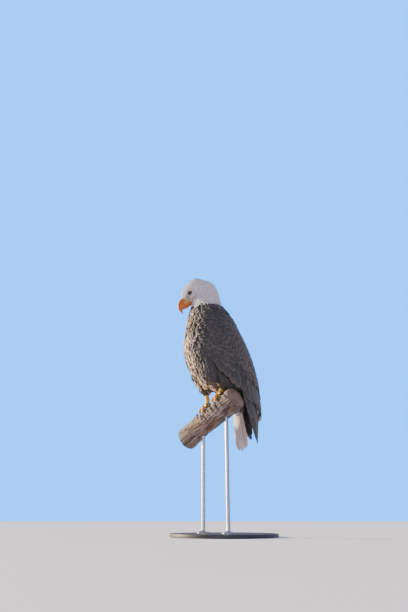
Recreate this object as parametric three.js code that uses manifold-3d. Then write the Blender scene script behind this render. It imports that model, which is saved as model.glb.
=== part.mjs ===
// A life-size adult bald eagle, perched and looking down past its breast, on a short length of
// dead branch held by two rods over a round base. Millimetres, +Z up, the bird faces -Y, and the
// origin is the middle of the base's underside.

import * as THREE from "three";
import { mergeVertices } from "three/addons/utils/BufferGeometryUtils.js";
import Module from "manifold-3d";

const wasm = await Module();
wasm.setup();

// ---------------------------------------------------------------- driving dimensions

const GAP = 0.3; // left between pieces that touch
const BODY_COLUMNS = 22;
const BODY_ROWS = 20;
const BASE_RADIUS = 195;
const BASE_THICKNESS = 12;
const ROD_RADIUS = 7;
const ROD_FLANGE = 24;
const BIRD_HEIGHT = 500; // the level that the body's heights count from, over the floor
const PERCH_DROP = 14; // the bark between the feet, below that level
const BIRD_SHIFT = -28; // the feet, from the middle of the base
const PERCH_RADIUS = 44;
const PERCH_TURN = THREE.MathUtils.degToRad(28); // from the bird's own left-right line
const PERCH_SLOPE = THREE.MathUtils.degToRad(24); // the bird's left end is the higher
const PERCH_LOW_END = 200; // lengths of branch each side of the feet
const PERCH_HIGH_END = 98;
const ROD_PLACES = [-95, 45]; // along the branch
const FOOT_SPACING = 42; // each foot from the middle, along the branch

const HEAD_PITCH = THREE.MathUtils.degToRad(48); // bill below the horizontal
const HEAD_TURN = THREE.MathUtils.degToRad(11); // to the bird's right
const EYE_LEVEL = new THREE.Vector3(-8, -107, 433); // the point between the eyes, over the feet
const EYE_RADIUS = 11.5;
const EYE_DEPTH = 20.5; // from the head's middle plane to the eye's centre
const WING_THICKNESS = 13;
const WING_PROUD = 5;
const HOOD_LEVEL = 398; // where the white hood ends, over the feet
const SHANK_RADIUS = 8.5;
const TOE_RADIUS = 7.5;

// The body's level sections, from the crown of the neck to the vent: height over BIRD_HEIGHT,
// middle behind the feet, half-width, half-depth.
const HOOD_SECTIONS = [
  [502, -55, 38, 36],
  [474, -52, 47, 54],
  [432, -43, 54, 60],
  [392, -38, 61, 60],
];
const CHEST_SECTIONS = [
  [345, -31, 91, 81],
  [303, -18, 109, 97],
  [260, -11, 115, 110],
  [220, -3, 118, 124],
  [178, 7, 117, 132],
  [138, 19, 113, 135],
];
const BELLY_SECTIONS = [
  [97, 32, 100, 127],
  [60, 46, 86, 104],
  [30, 62, 66, 66],
  [6, 76, 44, 34],
];
// The same sections as the folded wings go on round the rump and tail.
const FOLD_SECTIONS = [
  [97, 31, 106, 134],
  [56, 47, 98, 127],
  [15, 65, 89, 114],
  [-30, 83, 79, 102],
  [-80, 104, 66, 80],
  [-178, 134, 45, 36],
];

// ---------------------------------------------------------------- materials

const paint = (color, roughness, metalness = 0) =>
  new THREE.MeshStandardMaterial({ color, roughness, metalness });
const MATERIALS = {
  hood: paint(0xe9e7e4, 0.8),
  plumage: paint(0x3b3531, 0.8),
  flight: paint(0x2d2928, 0.7),
  tail: paint(0xe4dfd8, 0.75),
  bill: paint(0xe9a02c, 0.4),
  foot: paint(0xe2ad35, 0.55),
  talon: paint(0x1b1a1b, 0.35),
  eye: paint(0xd9c98a, 0.1),
  wood: paint(0x8a7668, 0.85),
  base: paint(0x2b2c2e, 0.5, 0.2),
  rod: paint(0x9a9c9f, 0.35, 0.9),
};

// ---------------------------------------------------------------- making solids

const { clamp, degToRad, lerp, smoothstep } = THREE.MathUtils;

// A geometry as a manifold solid, turned right side out.
function solid(geometry) {
  const bare = geometry.clone();
  bare.deleteAttribute("normal");
  bare.deleteAttribute("uv");
  const merged = mergeVertices(bare, 1e-4);
  const triVerts = new Uint32Array(merged.index.array);
  const vertProperties = merged.getAttribute("position").array;
  const made = new wasm.Manifold(new wasm.Mesh({ numProp: 3, vertProperties, triVerts }));
  if (made.volume() > 0) return made;
  for (let i = 0; i < triVerts.length; i += 3) {
    [triVerts[i + 1], triVerts[i + 2]] = [triVerts[i + 2], triVerts[i + 1]];
  }
  return new wasm.Manifold(new wasm.Mesh({ numProp: 3, vertProperties, triVerts }));
}

// A solid as a named three.js mesh, without the crumbs that a cut can leave.
function mesh(name, shape, material) {
  const whole = shape.decompose().sort((a, b) => b.volume() - a.volume())[0];
  const { numProp, vertProperties, triVerts } = whole.getMesh();
  const places = new Float32Array((vertProperties.length / numProp) * 3);
  for (let i = 0; i < places.length / 3; i++) {
    places.set(vertProperties.subarray(i * numProp, i * numProp + 3), i * 3);
  }
  const geometry = new THREE.BufferGeometry();
  geometry.setAttribute("position", new THREE.BufferAttribute(places, 3));
  geometry.setIndex(new THREE.BufferAttribute(new Uint32Array(triVerts), 1));
  geometry.computeVertexNormals();
  const made = new THREE.Mesh(geometry, material);
  made.name = name;
  return made;
}

const moved = (shape, matrix) => shape.transform(matrix.toArray());
const without = (shape, tools) => tools.reduce((rest, tool) => rest.subtract(tool), shape);

// Each vertex of a geometry put where `place` says.
function reshaped(geometry, place) {
  const position = geometry.getAttribute("position");
  const point = new THREE.Vector3();
  for (let i = 0; i < position.count; i++) {
    const put = place(point.fromBufferAttribute(position, i));
    position.setXYZ(i, put.x, put.y, put.z);
  }
  return geometry;
}

// A closed form on sections: a sphere's rows become the rings and its poles the two ends.
// `at(t, angle)` gives a point for t from 0 to 1 along the form and an angle round it.
function form(at, columns, rows) {
  const sphere = new THREE.SphereGeometry(1, columns, rows);
  return solid(
    reshaped(sphere, (p) => at(Math.acos(clamp(p.y, -1, 1)) / Math.PI, Math.atan2(p.z, p.x))),
  );
}

// A curved plate: a box's two wide sides become its faces. `at(u, v, side)` gives a point for
// u and v from 0 to 1 over the plate, with side 1 outside and 0 inside.
function plate(at, columns, rows) {
  const box = new THREE.BoxGeometry(1, 1, 1, columns, rows, 1);
  return solid(reshaped(box, (p) => at(p.x + 0.5, 0.5 - p.y, p.z + 0.5)));
}

// Rows of numbers as a smooth function of t from 0 to 1, up to six numbers to a row.
function smoothRows(rows) {
  const half = (from) =>
    new THREE.CatmullRomCurve3(
      rows.map((r) => new THREE.Vector3(r[from] ?? 0, r[from + 1] ?? 0, r[from + 2] ?? 0)),
    );
  const [first, second] = [half(0), half(3)];
  return (t) => [...first.getPoint(t).toArray(), ...second.getPoint(t).toArray()];
}

// 1 along a form, easing to 0 at each end as a round end does.
function roundEnds(t, firstShare, lastShare) {
  const end = (d, share) => (share && d < share ? Math.sqrt(1 - (1 - d / share) ** 2) : 1);
  return end(t, firstShare) * end(1 - t, lastShare);
}

// The share of the way down a list of sections at which a height is reached.
function shareAt(sections, height) {
  const after = sections.findIndex((s) => s[0] <= height);
  if (after <= 0) return after ? 1 : 0;
  const [high, low] = [sections[after - 1][0], sections[after][0]];
  return (after - 1 + (high - height) / (high - low)) / (sections.length - 1);
}

// ---------------------------------------------------------------- body

const BODY = [...HOOD_SECTIONS, ...CHEST_SECTIONS, ...BELLY_SECTIONS];
const FOLD = [...HOOD_SECTIONS, ...CHEST_SECTIONS, ...FOLD_SECTIONS];
const bodyAt = smoothRows(BODY);
const foldAt = smoothRows(FOLD);

function bodyForm(gap = 0) {
  return form(
    (t, angle) => {
      const [z, y, halfWidth, halfDepth] = bodyAt(t);
      const size = roundEnds(t, 0.1, 0.07);
      return new THREE.Vector3(
        (halfWidth + gap) * size * Math.sin(angle),
        y - (halfDepth + gap) * size * Math.cos(angle),
        z + gap - 2 * gap * t,
      );
    },
    BODY_COLUMNS,
    BODY_ROWS,
  );
}

// A point on the folded wings' surface: the angle is 0 at the breast and 180 degrees at the back.
function foldPoint(height, degrees, outward, side) {
  const [, y, halfWidth, halfDepth] = foldAt(shareAt(FOLD, height));
  const angle = degToRad(degrees);
  return new THREE.Vector3(
    side * (halfWidth + outward) * Math.sin(angle),
    y - (halfDepth + outward) * Math.cos(angle),
    height,
  );
}

// Where a folded wing lies: height, leading edge and trailing edge in degrees.
const wingEdges = smoothRows([
  [362, 80, 116],
  [342, 56, 142],
  [310, 44, 160],
  [255, 43, 170],
  [200, 48, 176],
  [140, 59, 177],
  [80, 74, 177],
  [25, 92, 177],
  [-20, 116, 177],
  [-76, 152, 174],
]);
const primaryEdges = smoothRows([
  [80, 84, 140],
  [20, 95, 150],
  [-40, 104, 152],
  [-95, 112, 148],
  [-138, 123, 146],
  [-172, 136, 143],
]);
const PRIMARY_REACH = { left: 1, right: 0.86 }; // the right wing's tip is tucked up

// The arm, coverts and secondaries. `gap` makes the larger tool that cuts the body to fit.
function wingForm(side, gap = 0) {
  const grow = Math.sign(gap) * 6; // the tool stands well out of the body
  return plate(
    (u, v, outer) => {
      const [height, lead, trail] = wingEdges(v);
      const middle = Math.sin(Math.PI * clamp(u, 0.02, 0.98)) ** 0.5;
      const proud = WING_PROUD * middle * smoothstep(v, 0, 0.12);
      const thick = lerp(3, WING_THICKNESS, middle * Math.sin(Math.PI * lerp(0.12, 0.88, v)));
      const out = outer > 0.5 ? proud + grow : proud - thick - gap;
      const margin = gap / 2 - gap * u;
      return foldPoint(height + gap - 2 * gap * v, lerp(lead, trail, u) - margin, out, side);
    },
    7,
    12,
  );
}

// The long primaries, which slide out from under the secondaries to the wing tip.
function primariesForm(side, gap = 0) {
  const reach = side > 0 ? PRIMARY_REACH.left : PRIMARY_REACH.right;
  return plate(
    (u, v, outer) => {
      const [height, lead, trail] = primaryEdges(v * reach);
      const depth = lerp(WING_THICKNESS + GAP, 0, smoothstep(v, 0.35, 1));
      const thick = lerp(5, 1.6, v);
      const out = outer > 0.5 ? gap - depth : -depth - thick - gap;
      const margin = gap / 2 - gap * u;
      return foldPoint(height + gap - 2 * gap * v, lerp(lead, trail, u) - margin, out, side);
    },
    3,
    7,
  );
}

// ---------------------------------------------------------------- tail

const TAIL_TOP = new THREE.Vector3(0, 74, 55);
const TAIL_TIP = new THREE.Vector3(0, 106, -202);
const TAIL_WIDTHS = [60, 108]; // at the root and near the tip
const TAIL_ARCH = 7;
const TAIL_TWIST = THREE.MathUtils.degToRad(9); // its left edge swung back

function tailForm(gap = 0) {
  const along = new THREE.Vector3().subVectors(TAIL_TIP, TAIL_TOP);
  const back = new THREE.Vector3(0, -along.z, along.y).normalize();
  return plate(
    (u, v, outer) => {
      const across = 2 * u - 1;
      const end = 1 - 0.055 * across * across * v; // the outer feathers are the shorter
      const point = TAIL_TOP.clone().addScaledVector(along, v * end);
      const width = lerp(TAIL_WIDTHS[0], TAIL_WIDTHS[1], Math.sin((v * Math.PI) / 2.4));
      const arch = TAIL_ARCH * (1 - across * across) * v;
      const thick = lerp(13, 2.4, v) + 2 * gap;
      const out = across * (width / 2 + gap);
      point.x += out * Math.cos(TAIL_TWIST);
      const twisted = out * Math.sin(TAIL_TWIST);
      return point.addScaledVector(back, twisted + arch + (outer - 0.5) * thick);
    },
    6,
    5,
  );
}

// The white coverts that sleeve the root of the tail.
const covertsForm = form(
  (t, angle) => {
    const [z, y, halfWidth, halfDepth] = smoothRows([
      [60, 74, 58, 40],
      [20, 84, 52, 31],
      [-25, 92, 43, 21],
      [-78, 98, 28, 12],
    ])(t);
    const size = roundEnds(t, 0.1, 0.2);
    return new THREE.Vector3(
      halfWidth * size * Math.sin(angle),
      y - halfDepth * size * Math.cos(angle),
      z,
    );
  },
  14,
  8,
);

// ---------------------------------------------------------------- head

// In the head's own frame: +X to the bill, +Z to the crown, the eyes at the origin's height.
const headMatrix = new THREE.Matrix4()
  .makeRotationZ(-Math.PI / 2 - HEAD_TURN)
  .multiply(new THREE.Matrix4().makeRotationY(HEAD_PITCH))
  .setPosition(EYE_LEVEL);

// Along the head: distance to the front, middle height, half-width, half-height.
const headAt = smoothRows([
  [-86, -5, 24, 22],
  [-64, -1, 38, 33],
  [-38, 0, 42, 38],
  [-12, -1, 39, 38],
  [11, -1, 32, 34],
  [27, -3, 23, 24],
  [39, -5, 15, 16],
]);
const skullForm = form(
  (t, angle) => {
    const [x, middle, halfWidth, halfHeight] = headAt(t);
    const size = roundEnds(t, 0.22, 0.12);
    return new THREE.Vector3(
      x,
      halfWidth * size * Math.cos(angle),
      middle + halfHeight * size * Math.sin(angle),
    );
  },
  16,
  11,
);

// The bony ridge that shades each eye.
function browForm(side) {
  const ridge = new THREE.SphereGeometry(1, 10, 6).scale(20, 5.5, 4.5);
  ridge.rotateY(degToRad(12)).rotateZ(side * degToRad(-17)).translate(3, side * 29.5, 11.5);
  return solid(ridge);
}

// The bowl in the face that each eye looks out of.
function orbitForm(side) {
  const bowl = new THREE.SphereGeometry(1, 10, 8).scale(17, 12.5, 11.5);
  return solid(bowl.rotateZ(side * degToRad(-14)).translate(4, side * 40, -1));
}

function eyeForm(side, gap = 0) {
  const ball = new THREE.SphereGeometry(EYE_RADIUS + gap, 12, 8);
  return solid(ball.translate(0, side * EYE_DEPTH, 0));
}

// A mandible: the upper line's x and z, the lower line's x and z, and the half-width.
function mandibleForm(sections, gap = 0) {
  const sectionAt = smoothRows(sections);
  return form(
    (t, angle) => {
      const [topX, topZ, lowX, lowZ, halfWidth] = sectionAt(t);
      const size = roundEnds(t, 0.06, 0.08);
      const share = (1 + Math.sin(angle) * size) / 2;
      const high = new THREE.Vector2(topX - lowX, topZ - lowZ);
      const stretch = 1 + (2 * gap) / high.length();
      const up = (share - 0.5) * stretch + 0.5;
      return new THREE.Vector3(
        lowX + high.x * up,
        (halfWidth + gap) * size * Math.cos(angle),
        lowZ + high.y * up,
      );
    },
    10,
    12,
  );
}

const UPPER_BILL = [
  [16, 10, 14, -20, 16],
  [32, 13, 30, -21, 15.5],
  [47, 14, 44, -21, 14.5],
  [61, 10, 55, -20, 12],
  [72, 2, 64, -20, 9.5],
  [80, -9, 70, -22, 7],
  [83, -23, 75, -29, 4.4],
  [81, -39, 79, -40, 1.4],
];
const LOWER_BILL = [
  [0, -22, 2, -33, 14],
  [20, -22, 20, -34, 13.5],
  [38, -21, 38, -34, 11.5],
  [54, -20.5, 52, -31, 8.5],
  [66, -21.5, 62, -28, 4.5],
];

// ---------------------------------------------------------------- perch, legs and feet

// In the perch's own frame: +X up the branch, -Y ahead of the bird, the bark's top at the origin.
const perchMatrix = new THREE.Matrix4()
  .makeRotationZ(PERCH_TURN)
  .multiply(new THREE.Matrix4().makeRotationY(-PERCH_SLOPE))
  .setPosition(0, 0, -PERCH_DROP);

// The branch's radius, with the swellings and flutes of dead wood.
function branchRadius(along, angle) {
  const swell = 1 + 0.05 * Math.sin(along / 47 + 0.6) + 0.06 * clamp(-along / 200, 0, 1);
  return PERCH_RADIUS * swell * (1 + 0.018 * Math.sin(3 * angle + along / 60));
}

function perchForm(gap = 0) {
  const log = new THREE.CylinderGeometry(1, 1, 1, 20, 9);
  const branch = reshaped(log, (p) => {
    const along = lerp(-PERCH_LOW_END - gap, PERCH_HIGH_END + gap, p.y + 0.5);
    const angle = Math.atan2(p.x, p.z);
    const radius = (branchRadius(along, angle) + gap) * Math.hypot(p.x, p.z);
    const bend = -((along / 90) ** 2);
    return new THREE.Vector3(
      along,
      radius * Math.sin(angle),
      bend - branchRadius(0, 0) + radius * Math.cos(angle),
    );
  });
  const stub = new THREE.CylinderGeometry(9 + gap, 19 + gap, 62, 8, 1);
  stub.translate(0, 55, 0).rotateX(degToRad(64)).rotateZ(degToRad(14));
  stub.translate(-148, 0, -PERCH_RADIUS - 4);
  return solid(branch).add(solid(stub));
}

// A point at an angle round the branch from its top towards the front, `off` from the bark.
function onBranch(along, degrees, off) {
  const angle = degToRad(degrees);
  const radius = branchRadius(along, Math.PI + angle) + off;
  return new THREE.Vector3(
    along,
    -radius * Math.sin(angle),
    -((along / 90) ** 2) - branchRadius(0, 0) + radius * Math.cos(angle),
  );
}

// A tapering round rod along a curve.
function taper(curve, firstRadius, lastRadius, columns, rows, gap = 0) {
  const frames = curve.computeFrenetFrames(rows);
  return form(
    (t, angle) => {
      const row = Math.round(t * rows);
      const size = roundEnds(t, 0.08, 0.06);
      const radius = (lerp(firstRadius, lastRadius, t) + gap) * size;
      return curve
        .getPointAt(t)
        .addScaledVector(frames.normals[row], radius * Math.cos(angle))
        .addScaledVector(frames.binormals[row], radius * Math.sin(angle));
    },
    columns,
    rows,
  );
}

// Each toe: how far it splays along the branch, where it ends round the branch in degrees,
// its girth and its talon's length.
const TOES = [
  { name: "inner", splay: 30, reach: 66, girth: 1, talon: 34 },
  { name: "middle", splay: 3, reach: 82, girth: 1, talon: 30 },
  { name: "outer", splay: -27, reach: 62, girth: 0.92, talon: 26 },
  { name: "hind", splay: 6, reach: -52, girth: 1.08, talon: 38 },
];
const KNUCKLE_HEIGHT = 15; // the ball of the foot over the bark
const TALON_RADIUS = 5.2;

function toeCurve(toe, foot, inward) {
  const points = [0, 0.3, 0.65, 1].map((share) => {
    const lift = lerp(KNUCKLE_HEIGHT - 3, TOE_RADIUS - 1.5, smoothstep(share, 0, 0.5));
    return onBranch(foot + inward * toe.splay * share, toe.reach * share, lift);
  });
  return new THREE.CatmullRomCurve3(points);
}

function talonCurve(toe, foot, inward) {
  const way = Math.sign(toe.reach);
  const turned = (share) =>
    toe.reach + way * (THREE.MathUtils.radToDeg(toe.talon / PERCH_RADIUS) * share - 4);
  const splay = foot + inward * toe.splay;
  const rise = [6.5, 10, 7.5, 0.8];
  const points = rise.map((off, i) => {
    const share = i / (rise.length - 1);
    return onBranch(splay + inward * 4 * share * Math.sign(toe.splay), turned(share), off);
  });
  return new THREE.CatmullRomCurve3(points);
}

const perchInverse = perchMatrix.clone().invert();
const ankleOf = (side) =>
  onBranch(side * FOOT_SPACING, 0, KNUCKLE_HEIGHT)
    .applyMatrix4(perchMatrix)
    .add(new THREE.Vector3(side * 4, -2, 44));

// The bare shank and four toes, in the perch's frame.
function footForm(side, gap = 0) {
  const foot = side * FOOT_SPACING;
  const ball = onBranch(foot, 0, KNUCKLE_HEIGHT - 4);
  const ankle = ankleOf(side).applyMatrix4(perchInverse);
  const shank = new THREE.CatmullRomCurve3([ball, ball.clone().lerp(ankle, 0.5), ankle]);
  const pad = new THREE.SphereGeometry(1, 8, 6).scale(15 + gap, 15 + gap, 10 + gap);
  pad.translate(...onBranch(foot, 2, 10));
  const pieces = TOES.map((toe) =>
    taper(
      toeCurve(toe, foot, -side),
      TOE_RADIUS * toe.girth + 1.2,
      TOE_RADIUS * toe.girth - 1,
      7,
      5,
      gap,
    ),
  );
  return [taper(shank, SHANK_RADIUS + 2, SHANK_RADIUS, 8, 4, gap), ...pieces].reduce(
    (whole, piece) => whole.add(piece),
    solid(pad),
  );
}

// The feathered thigh, from the flank to just over the foot.
function thighForm(side) {
  const ankle = ankleOf(side);
  const sections = smoothRows([
    [side * 50, -6, 178, 42, 56],
    [side * 53, -24, 128, 44, 60],
    [side * 52, -33, 84, 38, 48],
    [lerp(side * 50, ankle.x, 0.6), -27, 48, 29, 33],
    [ankle.x, ankle.y - 2, ankle.z - 14, 17, 18],
  ]);
  return form(
    (t, angle) => {
      const [x, y, z, halfWidth, halfDepth] = sections(t);
      const size = roundEnds(t, 0.16, 0.06);
      return new THREE.Vector3(
        x + halfWidth * size * Math.sin(angle),
        y - halfDepth * size * Math.cos(angle),
        z,
      );
    },
    14,
    10,
  );
}

// ---------------------------------------------------------------- stand

function baseGeometry() {
  const edge = 2;
  const outline = [
    [0, 0],
    [BASE_RADIUS - edge, 0],
    [BASE_RADIUS, edge],
    [BASE_RADIUS, BASE_THICKNESS - edge],
    [BASE_RADIUS - edge, BASE_THICKNESS],
    [0, BASE_THICKNESS],
  ].map(([x, y]) => new THREE.Vector2(x, y));
  return new THREE.LatheGeometry(outline, 48).rotateX(Math.PI / 2);
}

// A rod with its flange, standing at the origin.
function rodGeometry(height) {
  const outline = [
    [0, 0],
    [ROD_FLANGE, 0],
    [ROD_FLANGE, 4],
    [ROD_RADIUS + 3, 7],
    [ROD_RADIUS, 12],
    [ROD_RADIUS, height],
    [0, height],
  ].map(([x, y]) => new THREE.Vector2(x, y));
  return new THREE.LatheGeometry(outline, 16).rotateX(Math.PI / 2);
}

// ---------------------------------------------------------------- assembly

const SIDES = [
  ["left", 1],
  ["right", -1],
];
const above = (shape, height) => shape.trimByPlane([0, 0, 1], height);
const below = (shape, height) => shape.trimByPlane([0, 0, -1], -height);

const eagle = new THREE.Group();
const bird = new THREE.Group();
bird.position.set(0, BIRD_SHIFT, BIRD_HEIGHT);
eagle.add(bird);

// Head: its own group, pitched down.
const head = new THREE.Group();
head.applyMatrix4(headMatrix);
bird.add(head);
const upperBill = mandibleForm(UPPER_BILL);
const upperBillTool = mandibleForm(UPPER_BILL, GAP);
const lowerBill = mandibleForm(LOWER_BILL).subtract(upperBillTool);
const skull = SIDES.reduce((shape, [, side]) => shape.add(browForm(side)), skullForm);
const skullCut = SIDES.reduce(
  (shape, [, side]) => shape.subtract(orbitForm(side)).subtract(eyeForm(side, GAP)),
  skull.subtract(upperBillTool).subtract(mandibleForm(LOWER_BILL, GAP)),
);
head.add(mesh("head", skullCut, MATERIALS.hood));
head.add(mesh("bill_upper", upperBill, MATERIALS.bill));
head.add(mesh("bill_lower", lowerBill, MATERIALS.bill));
for (const [name, side] of SIDES) {
  head.add(mesh(`eye_${name}`, eyeForm(side), MATERIALS.eye));
}

// Neck, trunk and wings share one form, parted by thin cuts.
const skullTool = moved(skull, headMatrix.clone().scale(new THREE.Vector3(1.008, 1.008, 1.008)));
const billTool = moved(upperBillTool.add(mandibleForm(LOWER_BILL, GAP)), headMatrix);
const neck = above(bodyForm(), HOOD_LEVEL + GAP / 2).subtract(skullTool).subtract(billTool);
bird.add(mesh("neck", neck, MATERIALS.hood));

const wingTools = SIDES.flatMap(([, side]) => [
  wingForm(side, 2 * GAP),
  primariesForm(side, 2 * GAP),
]);
const perchTool = perchForm(GAP);
const gripTools = [perchTool, ...SIDES.map(([, side]) => footForm(side, GAP))].map((tool) =>
  moved(tool, perchMatrix),
);
const torso = without(below(bodyForm(), HOOD_LEVEL - GAP / 2), [
  skullTool,
  billTool,
  ...wingTools,
  ...gripTools,
]);
bird.add(mesh("trunk", torso, MATERIALS.plumage));

const bodyTool = bodyForm(GAP);
const tail = without(tailForm(), [bodyTool, ...gripTools]);
const coverts = without(covertsForm, [tailForm(GAP), bodyTool, ...wingTools, ...gripTools]);
bird.add(mesh("tail", tail, MATERIALS.tail));
bird.add(mesh("tail_coverts", coverts, MATERIALS.tail));

const perch = perchForm();
const perchGroup = new THREE.Group();
perchGroup.applyMatrix4(perchMatrix);
bird.add(perchGroup);
perchGroup.add(mesh("perch_branch", perch, MATERIALS.wood));

for (const [name, side] of SIDES) {
  const wing = without(wingForm(side), gripTools);
  bird.add(mesh(`wing_${name}`, wing, MATERIALS.plumage));
  const primaries = without(primariesForm(side), [wingForm(side, GAP), ...gripTools]);
  bird.add(mesh(`primaries_${name}`, primaries, MATERIALS.flight));

  const foot = footForm(side).subtract(perchTool);
  const footTool = footForm(side, GAP);
  perchGroup.add(mesh(`foot_${name}`, foot, MATERIALS.foot));
  for (const toe of TOES) {
    const curve = talonCurve(toe, side * FOOT_SPACING, -side);
    const talon = taper(curve, TALON_RADIUS, 0.9, 7, 5);
    const fitted = talon.subtract(footTool).subtract(perchTool);
    perchGroup.add(mesh(`talon_${name}_${toe.name}`, fitted, MATERIALS.talon));
  }

  const thigh = without(thighForm(side), [...wingTools, bodyTool, ...gripTools]);
  bird.add(mesh(`thigh_${name}`, thigh, MATERIALS.plumage));
}

// The stand: a round base and two rods up to the branch.
eagle.add(mesh("stand_base", solid(baseGeometry()), MATERIALS.base));
const perchPlace = new THREE.Matrix4().makeTranslation(bird.position).multiply(perchMatrix);
const perchInPlace = moved(perchTool, perchPlace);
ROD_PLACES.forEach((along, i) => {
  const top = onBranch(along, 0, -PERCH_RADIUS).applyMatrix4(perchMatrix).add(bird.position);
  const foot = BASE_THICKNESS + GAP;
  const rod = solid(rodGeometry(top.z - foot).translate(top.x, top.y, foot));
  eagle.add(mesh(`stand_rod_${i + 1}`, rod.subtract(perchInPlace), MATERIALS.rod));
});

export default eagle;
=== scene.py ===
"""A perched adult bald eagle: skin, laid feathers, eyes, bill, feet, branch, stand and stage."""

import math

import bmesh
import bpy
import numpy as np
from bpy.props import FloatProperty, FloatVectorProperty, PointerProperty
from mathutils import Matrix, Vector, noise
from mathutils.bvhtree import BVHTree
from mathutils.kdtree import KDTree


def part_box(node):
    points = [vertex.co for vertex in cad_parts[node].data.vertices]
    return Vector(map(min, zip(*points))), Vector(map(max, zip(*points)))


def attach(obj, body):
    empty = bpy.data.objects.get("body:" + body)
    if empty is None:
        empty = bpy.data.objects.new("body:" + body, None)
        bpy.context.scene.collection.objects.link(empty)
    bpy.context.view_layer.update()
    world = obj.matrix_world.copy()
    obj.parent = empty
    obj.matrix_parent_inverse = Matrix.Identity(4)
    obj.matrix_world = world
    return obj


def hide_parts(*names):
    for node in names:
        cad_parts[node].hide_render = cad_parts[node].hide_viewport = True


bl_info = {
    "name": "Perched Eagle",
    "version": (1, 0, 0),
    "blender": (4, 5, 0),
    "location": "View3D > Sidebar > Eagle",
    "description": "Builds the looks of a perched bald eagle around its solids",
    "category": "Object",
}

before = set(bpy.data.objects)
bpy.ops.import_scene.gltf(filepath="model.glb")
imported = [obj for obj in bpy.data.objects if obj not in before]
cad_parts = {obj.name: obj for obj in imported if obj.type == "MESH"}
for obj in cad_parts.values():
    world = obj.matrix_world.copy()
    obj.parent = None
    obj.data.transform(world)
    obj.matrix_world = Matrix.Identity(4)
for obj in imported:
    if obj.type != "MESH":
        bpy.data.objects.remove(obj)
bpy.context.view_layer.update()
SIDES = (("left", 1), ("right", -1))
TOES = ("inner", "middle", "outer", "hind")
MM = 0.001

# The bird's own frame: millimetres from the level of its feet.
BIRD_ORIGIN = Vector((0, -0.028, 0.5))
# Middle of the body behind the feet at each height, from the tail's tip to the crown.
AXIS_HEIGHTS = (-172, -30, 60, 138, 220, 303, 392, 432, 502)
AXIS_BACKS = (127, 83, 47, 19, -3, -19, -38, -43, -55)
HOOD_LEVEL = 396
HEAD_PITCH = math.radians(48)
EYE_RADIUS = 11.3
PERCH_TURN = math.radians(28)
PERCH_SLOPE = math.radians(24)
PERCH_DROP = 14
PERCH_RADIUS = 44
TAIL_TOP = np.array((0, 74, 55))
TAIL_TIP = np.array((0, 106, -202))
TAIL_TWIST = math.radians(9)

# Grid sizes that the solids are rounded on, in metres.
SKIN_VOXEL = 0.0025
FOOT_VOXEL = 0.0014
TALON_VOXEL = 0.0007
BRANCH_VOXEL = 0.0021
# Share of the skin's triangles that is kept.
SKIN_DETAIL = 0.62
# Skin under the plumage on the face in millimetres, and at most, as a share of the thickness.
FACE_DEPTH = 0.5
THIN_SHARE = 0.38
MOST_THICKNESS = 20
# Points nearer than this, in metres, are one point.
MERGE = 0.00001
GAPE_MERGE = 0.000001
# A rod's outline from its flared foot: radius and height.
ROD_RADIUS = 7
ROD_SPOKES = 64
ROD_FOOT = ((24, 0), (24, 3.2), (23.4, 3.9), (22.6, 4.2), (12, 6), (9, 7.6), (7.6, 9.8),
            (ROD_RADIUS, 13))
# Triangles that one piece of the coat may have.
MOST_TRIANGLES = 195000
# Side of one feather's patch in the unrolled map.
BAKE_PATCH = 0.003
# A feather whose root and tip are nearer than this share of its length is folded.
FOLDED = 0.66
# How far a feather keeps its way against the flow, and spots tried for each that is kept.
HOLD = 0.5
TRIES = 9
# Feathers root, and end, at least this far from a line of sight, in millimetres.
BARE_EYE = 9.8
CLEAR_EYE = 8.5

# The form that the folded wings lie round: height, middle behind the feet, half-width, half-depth.
FOLD = np.array((
    (432, -43, 54, 60), (392, -38, 61, 60), (345, -31, 91, 81), (303, -18, 109, 97),
    (260, -11, 115, 110), (220, -3, 118, 124), (178, 7, 117, 132), (138, 19, 113, 135),
    (97, 31, 106, 134), (56, 47, 98, 127), (15, 65, 89, 114), (-30, 83, 79, 102),
    (-80, 104, 66, 80), (-130, 122, 54, 56), (-190, 136, 44, 36), (-230, 146, 38, 28),
))
WING_PROUD = 4
# The folded wing's lower edge: degrees round from the breast, and height.
WING_EDGE = np.array((
    (43, 262), (48, 205), (59, 143), (74, 82), (92, 26), (116, -19), (140, -56), (158, -73),
    (176, -76),
))

# The primaries' tips: height, degrees round from the breast, and place in the stack.
PRIMARY_TIPS = np.array((
    (-176, 139.5, 0), (-165, 131, 1), (-150, 124, 2), (-131, 117, 3), (-110, 110, 4),
    (-86, 105, 5), (-62, 102, 6), (-168, 143, -1), (-150, 146, -2), (-126, 148, -3),
    (-98, 149, -4),
))
# The right wing's tip is tucked up.
PRIMARY_REACH = {"left": 1.0, "right": 0.86}

# The branch's knots: place along it, turn round it in radians, and size.
KNOTS = ((-70, 1.9, 13), (60, -2.0, 10), (-150, -1.4, 12), (20, 2.6, 9))

# Bill sections in the head's frame: upper line x and z, lower line x and z, half-width.
UPPER_BILL = (
    (14, 9, 12, -22, 16), (30, 13, 28, -22.8, 15.6), (45, 14, 42, -22.6, 14.4),
    (58, 11.5, 53, -21.4, 12.6), (69, 5, 61, -21.6, 10.4), (77.5, -4.5, 67.5, -22.4, 7.8),
    (82, -16, 72.5, -25.5, 5.4), (83.2, -28, 76.6, -31, 3.2), (81.4, -39.5, 79.6, -39.2, 0.9),
)
LOWER_BILL = (
    (8, -21, 8, -32, 12), (22, -21.4, 21, -34, 13.2), (38, -21, 38, -33.8, 11.6),
    (52, -20.4, 51, -31.4, 9), (62, -20.8, 60, -28.6, 6), (67.5, -22, 66, -25.4, 2.2),
)
# The mouth's fleshy corner, from the bill back under the eye.
GAPE_LINE = ((44, 13.6, -21.6), (38, 14.6, -21.8), (31, 15.5, -21.8), (24, 18.4, -22),
             (16, 22.5, -22.4), (7, 27, -23.2), (0, 30, -24.4), (-5, 32, -26))


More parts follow.
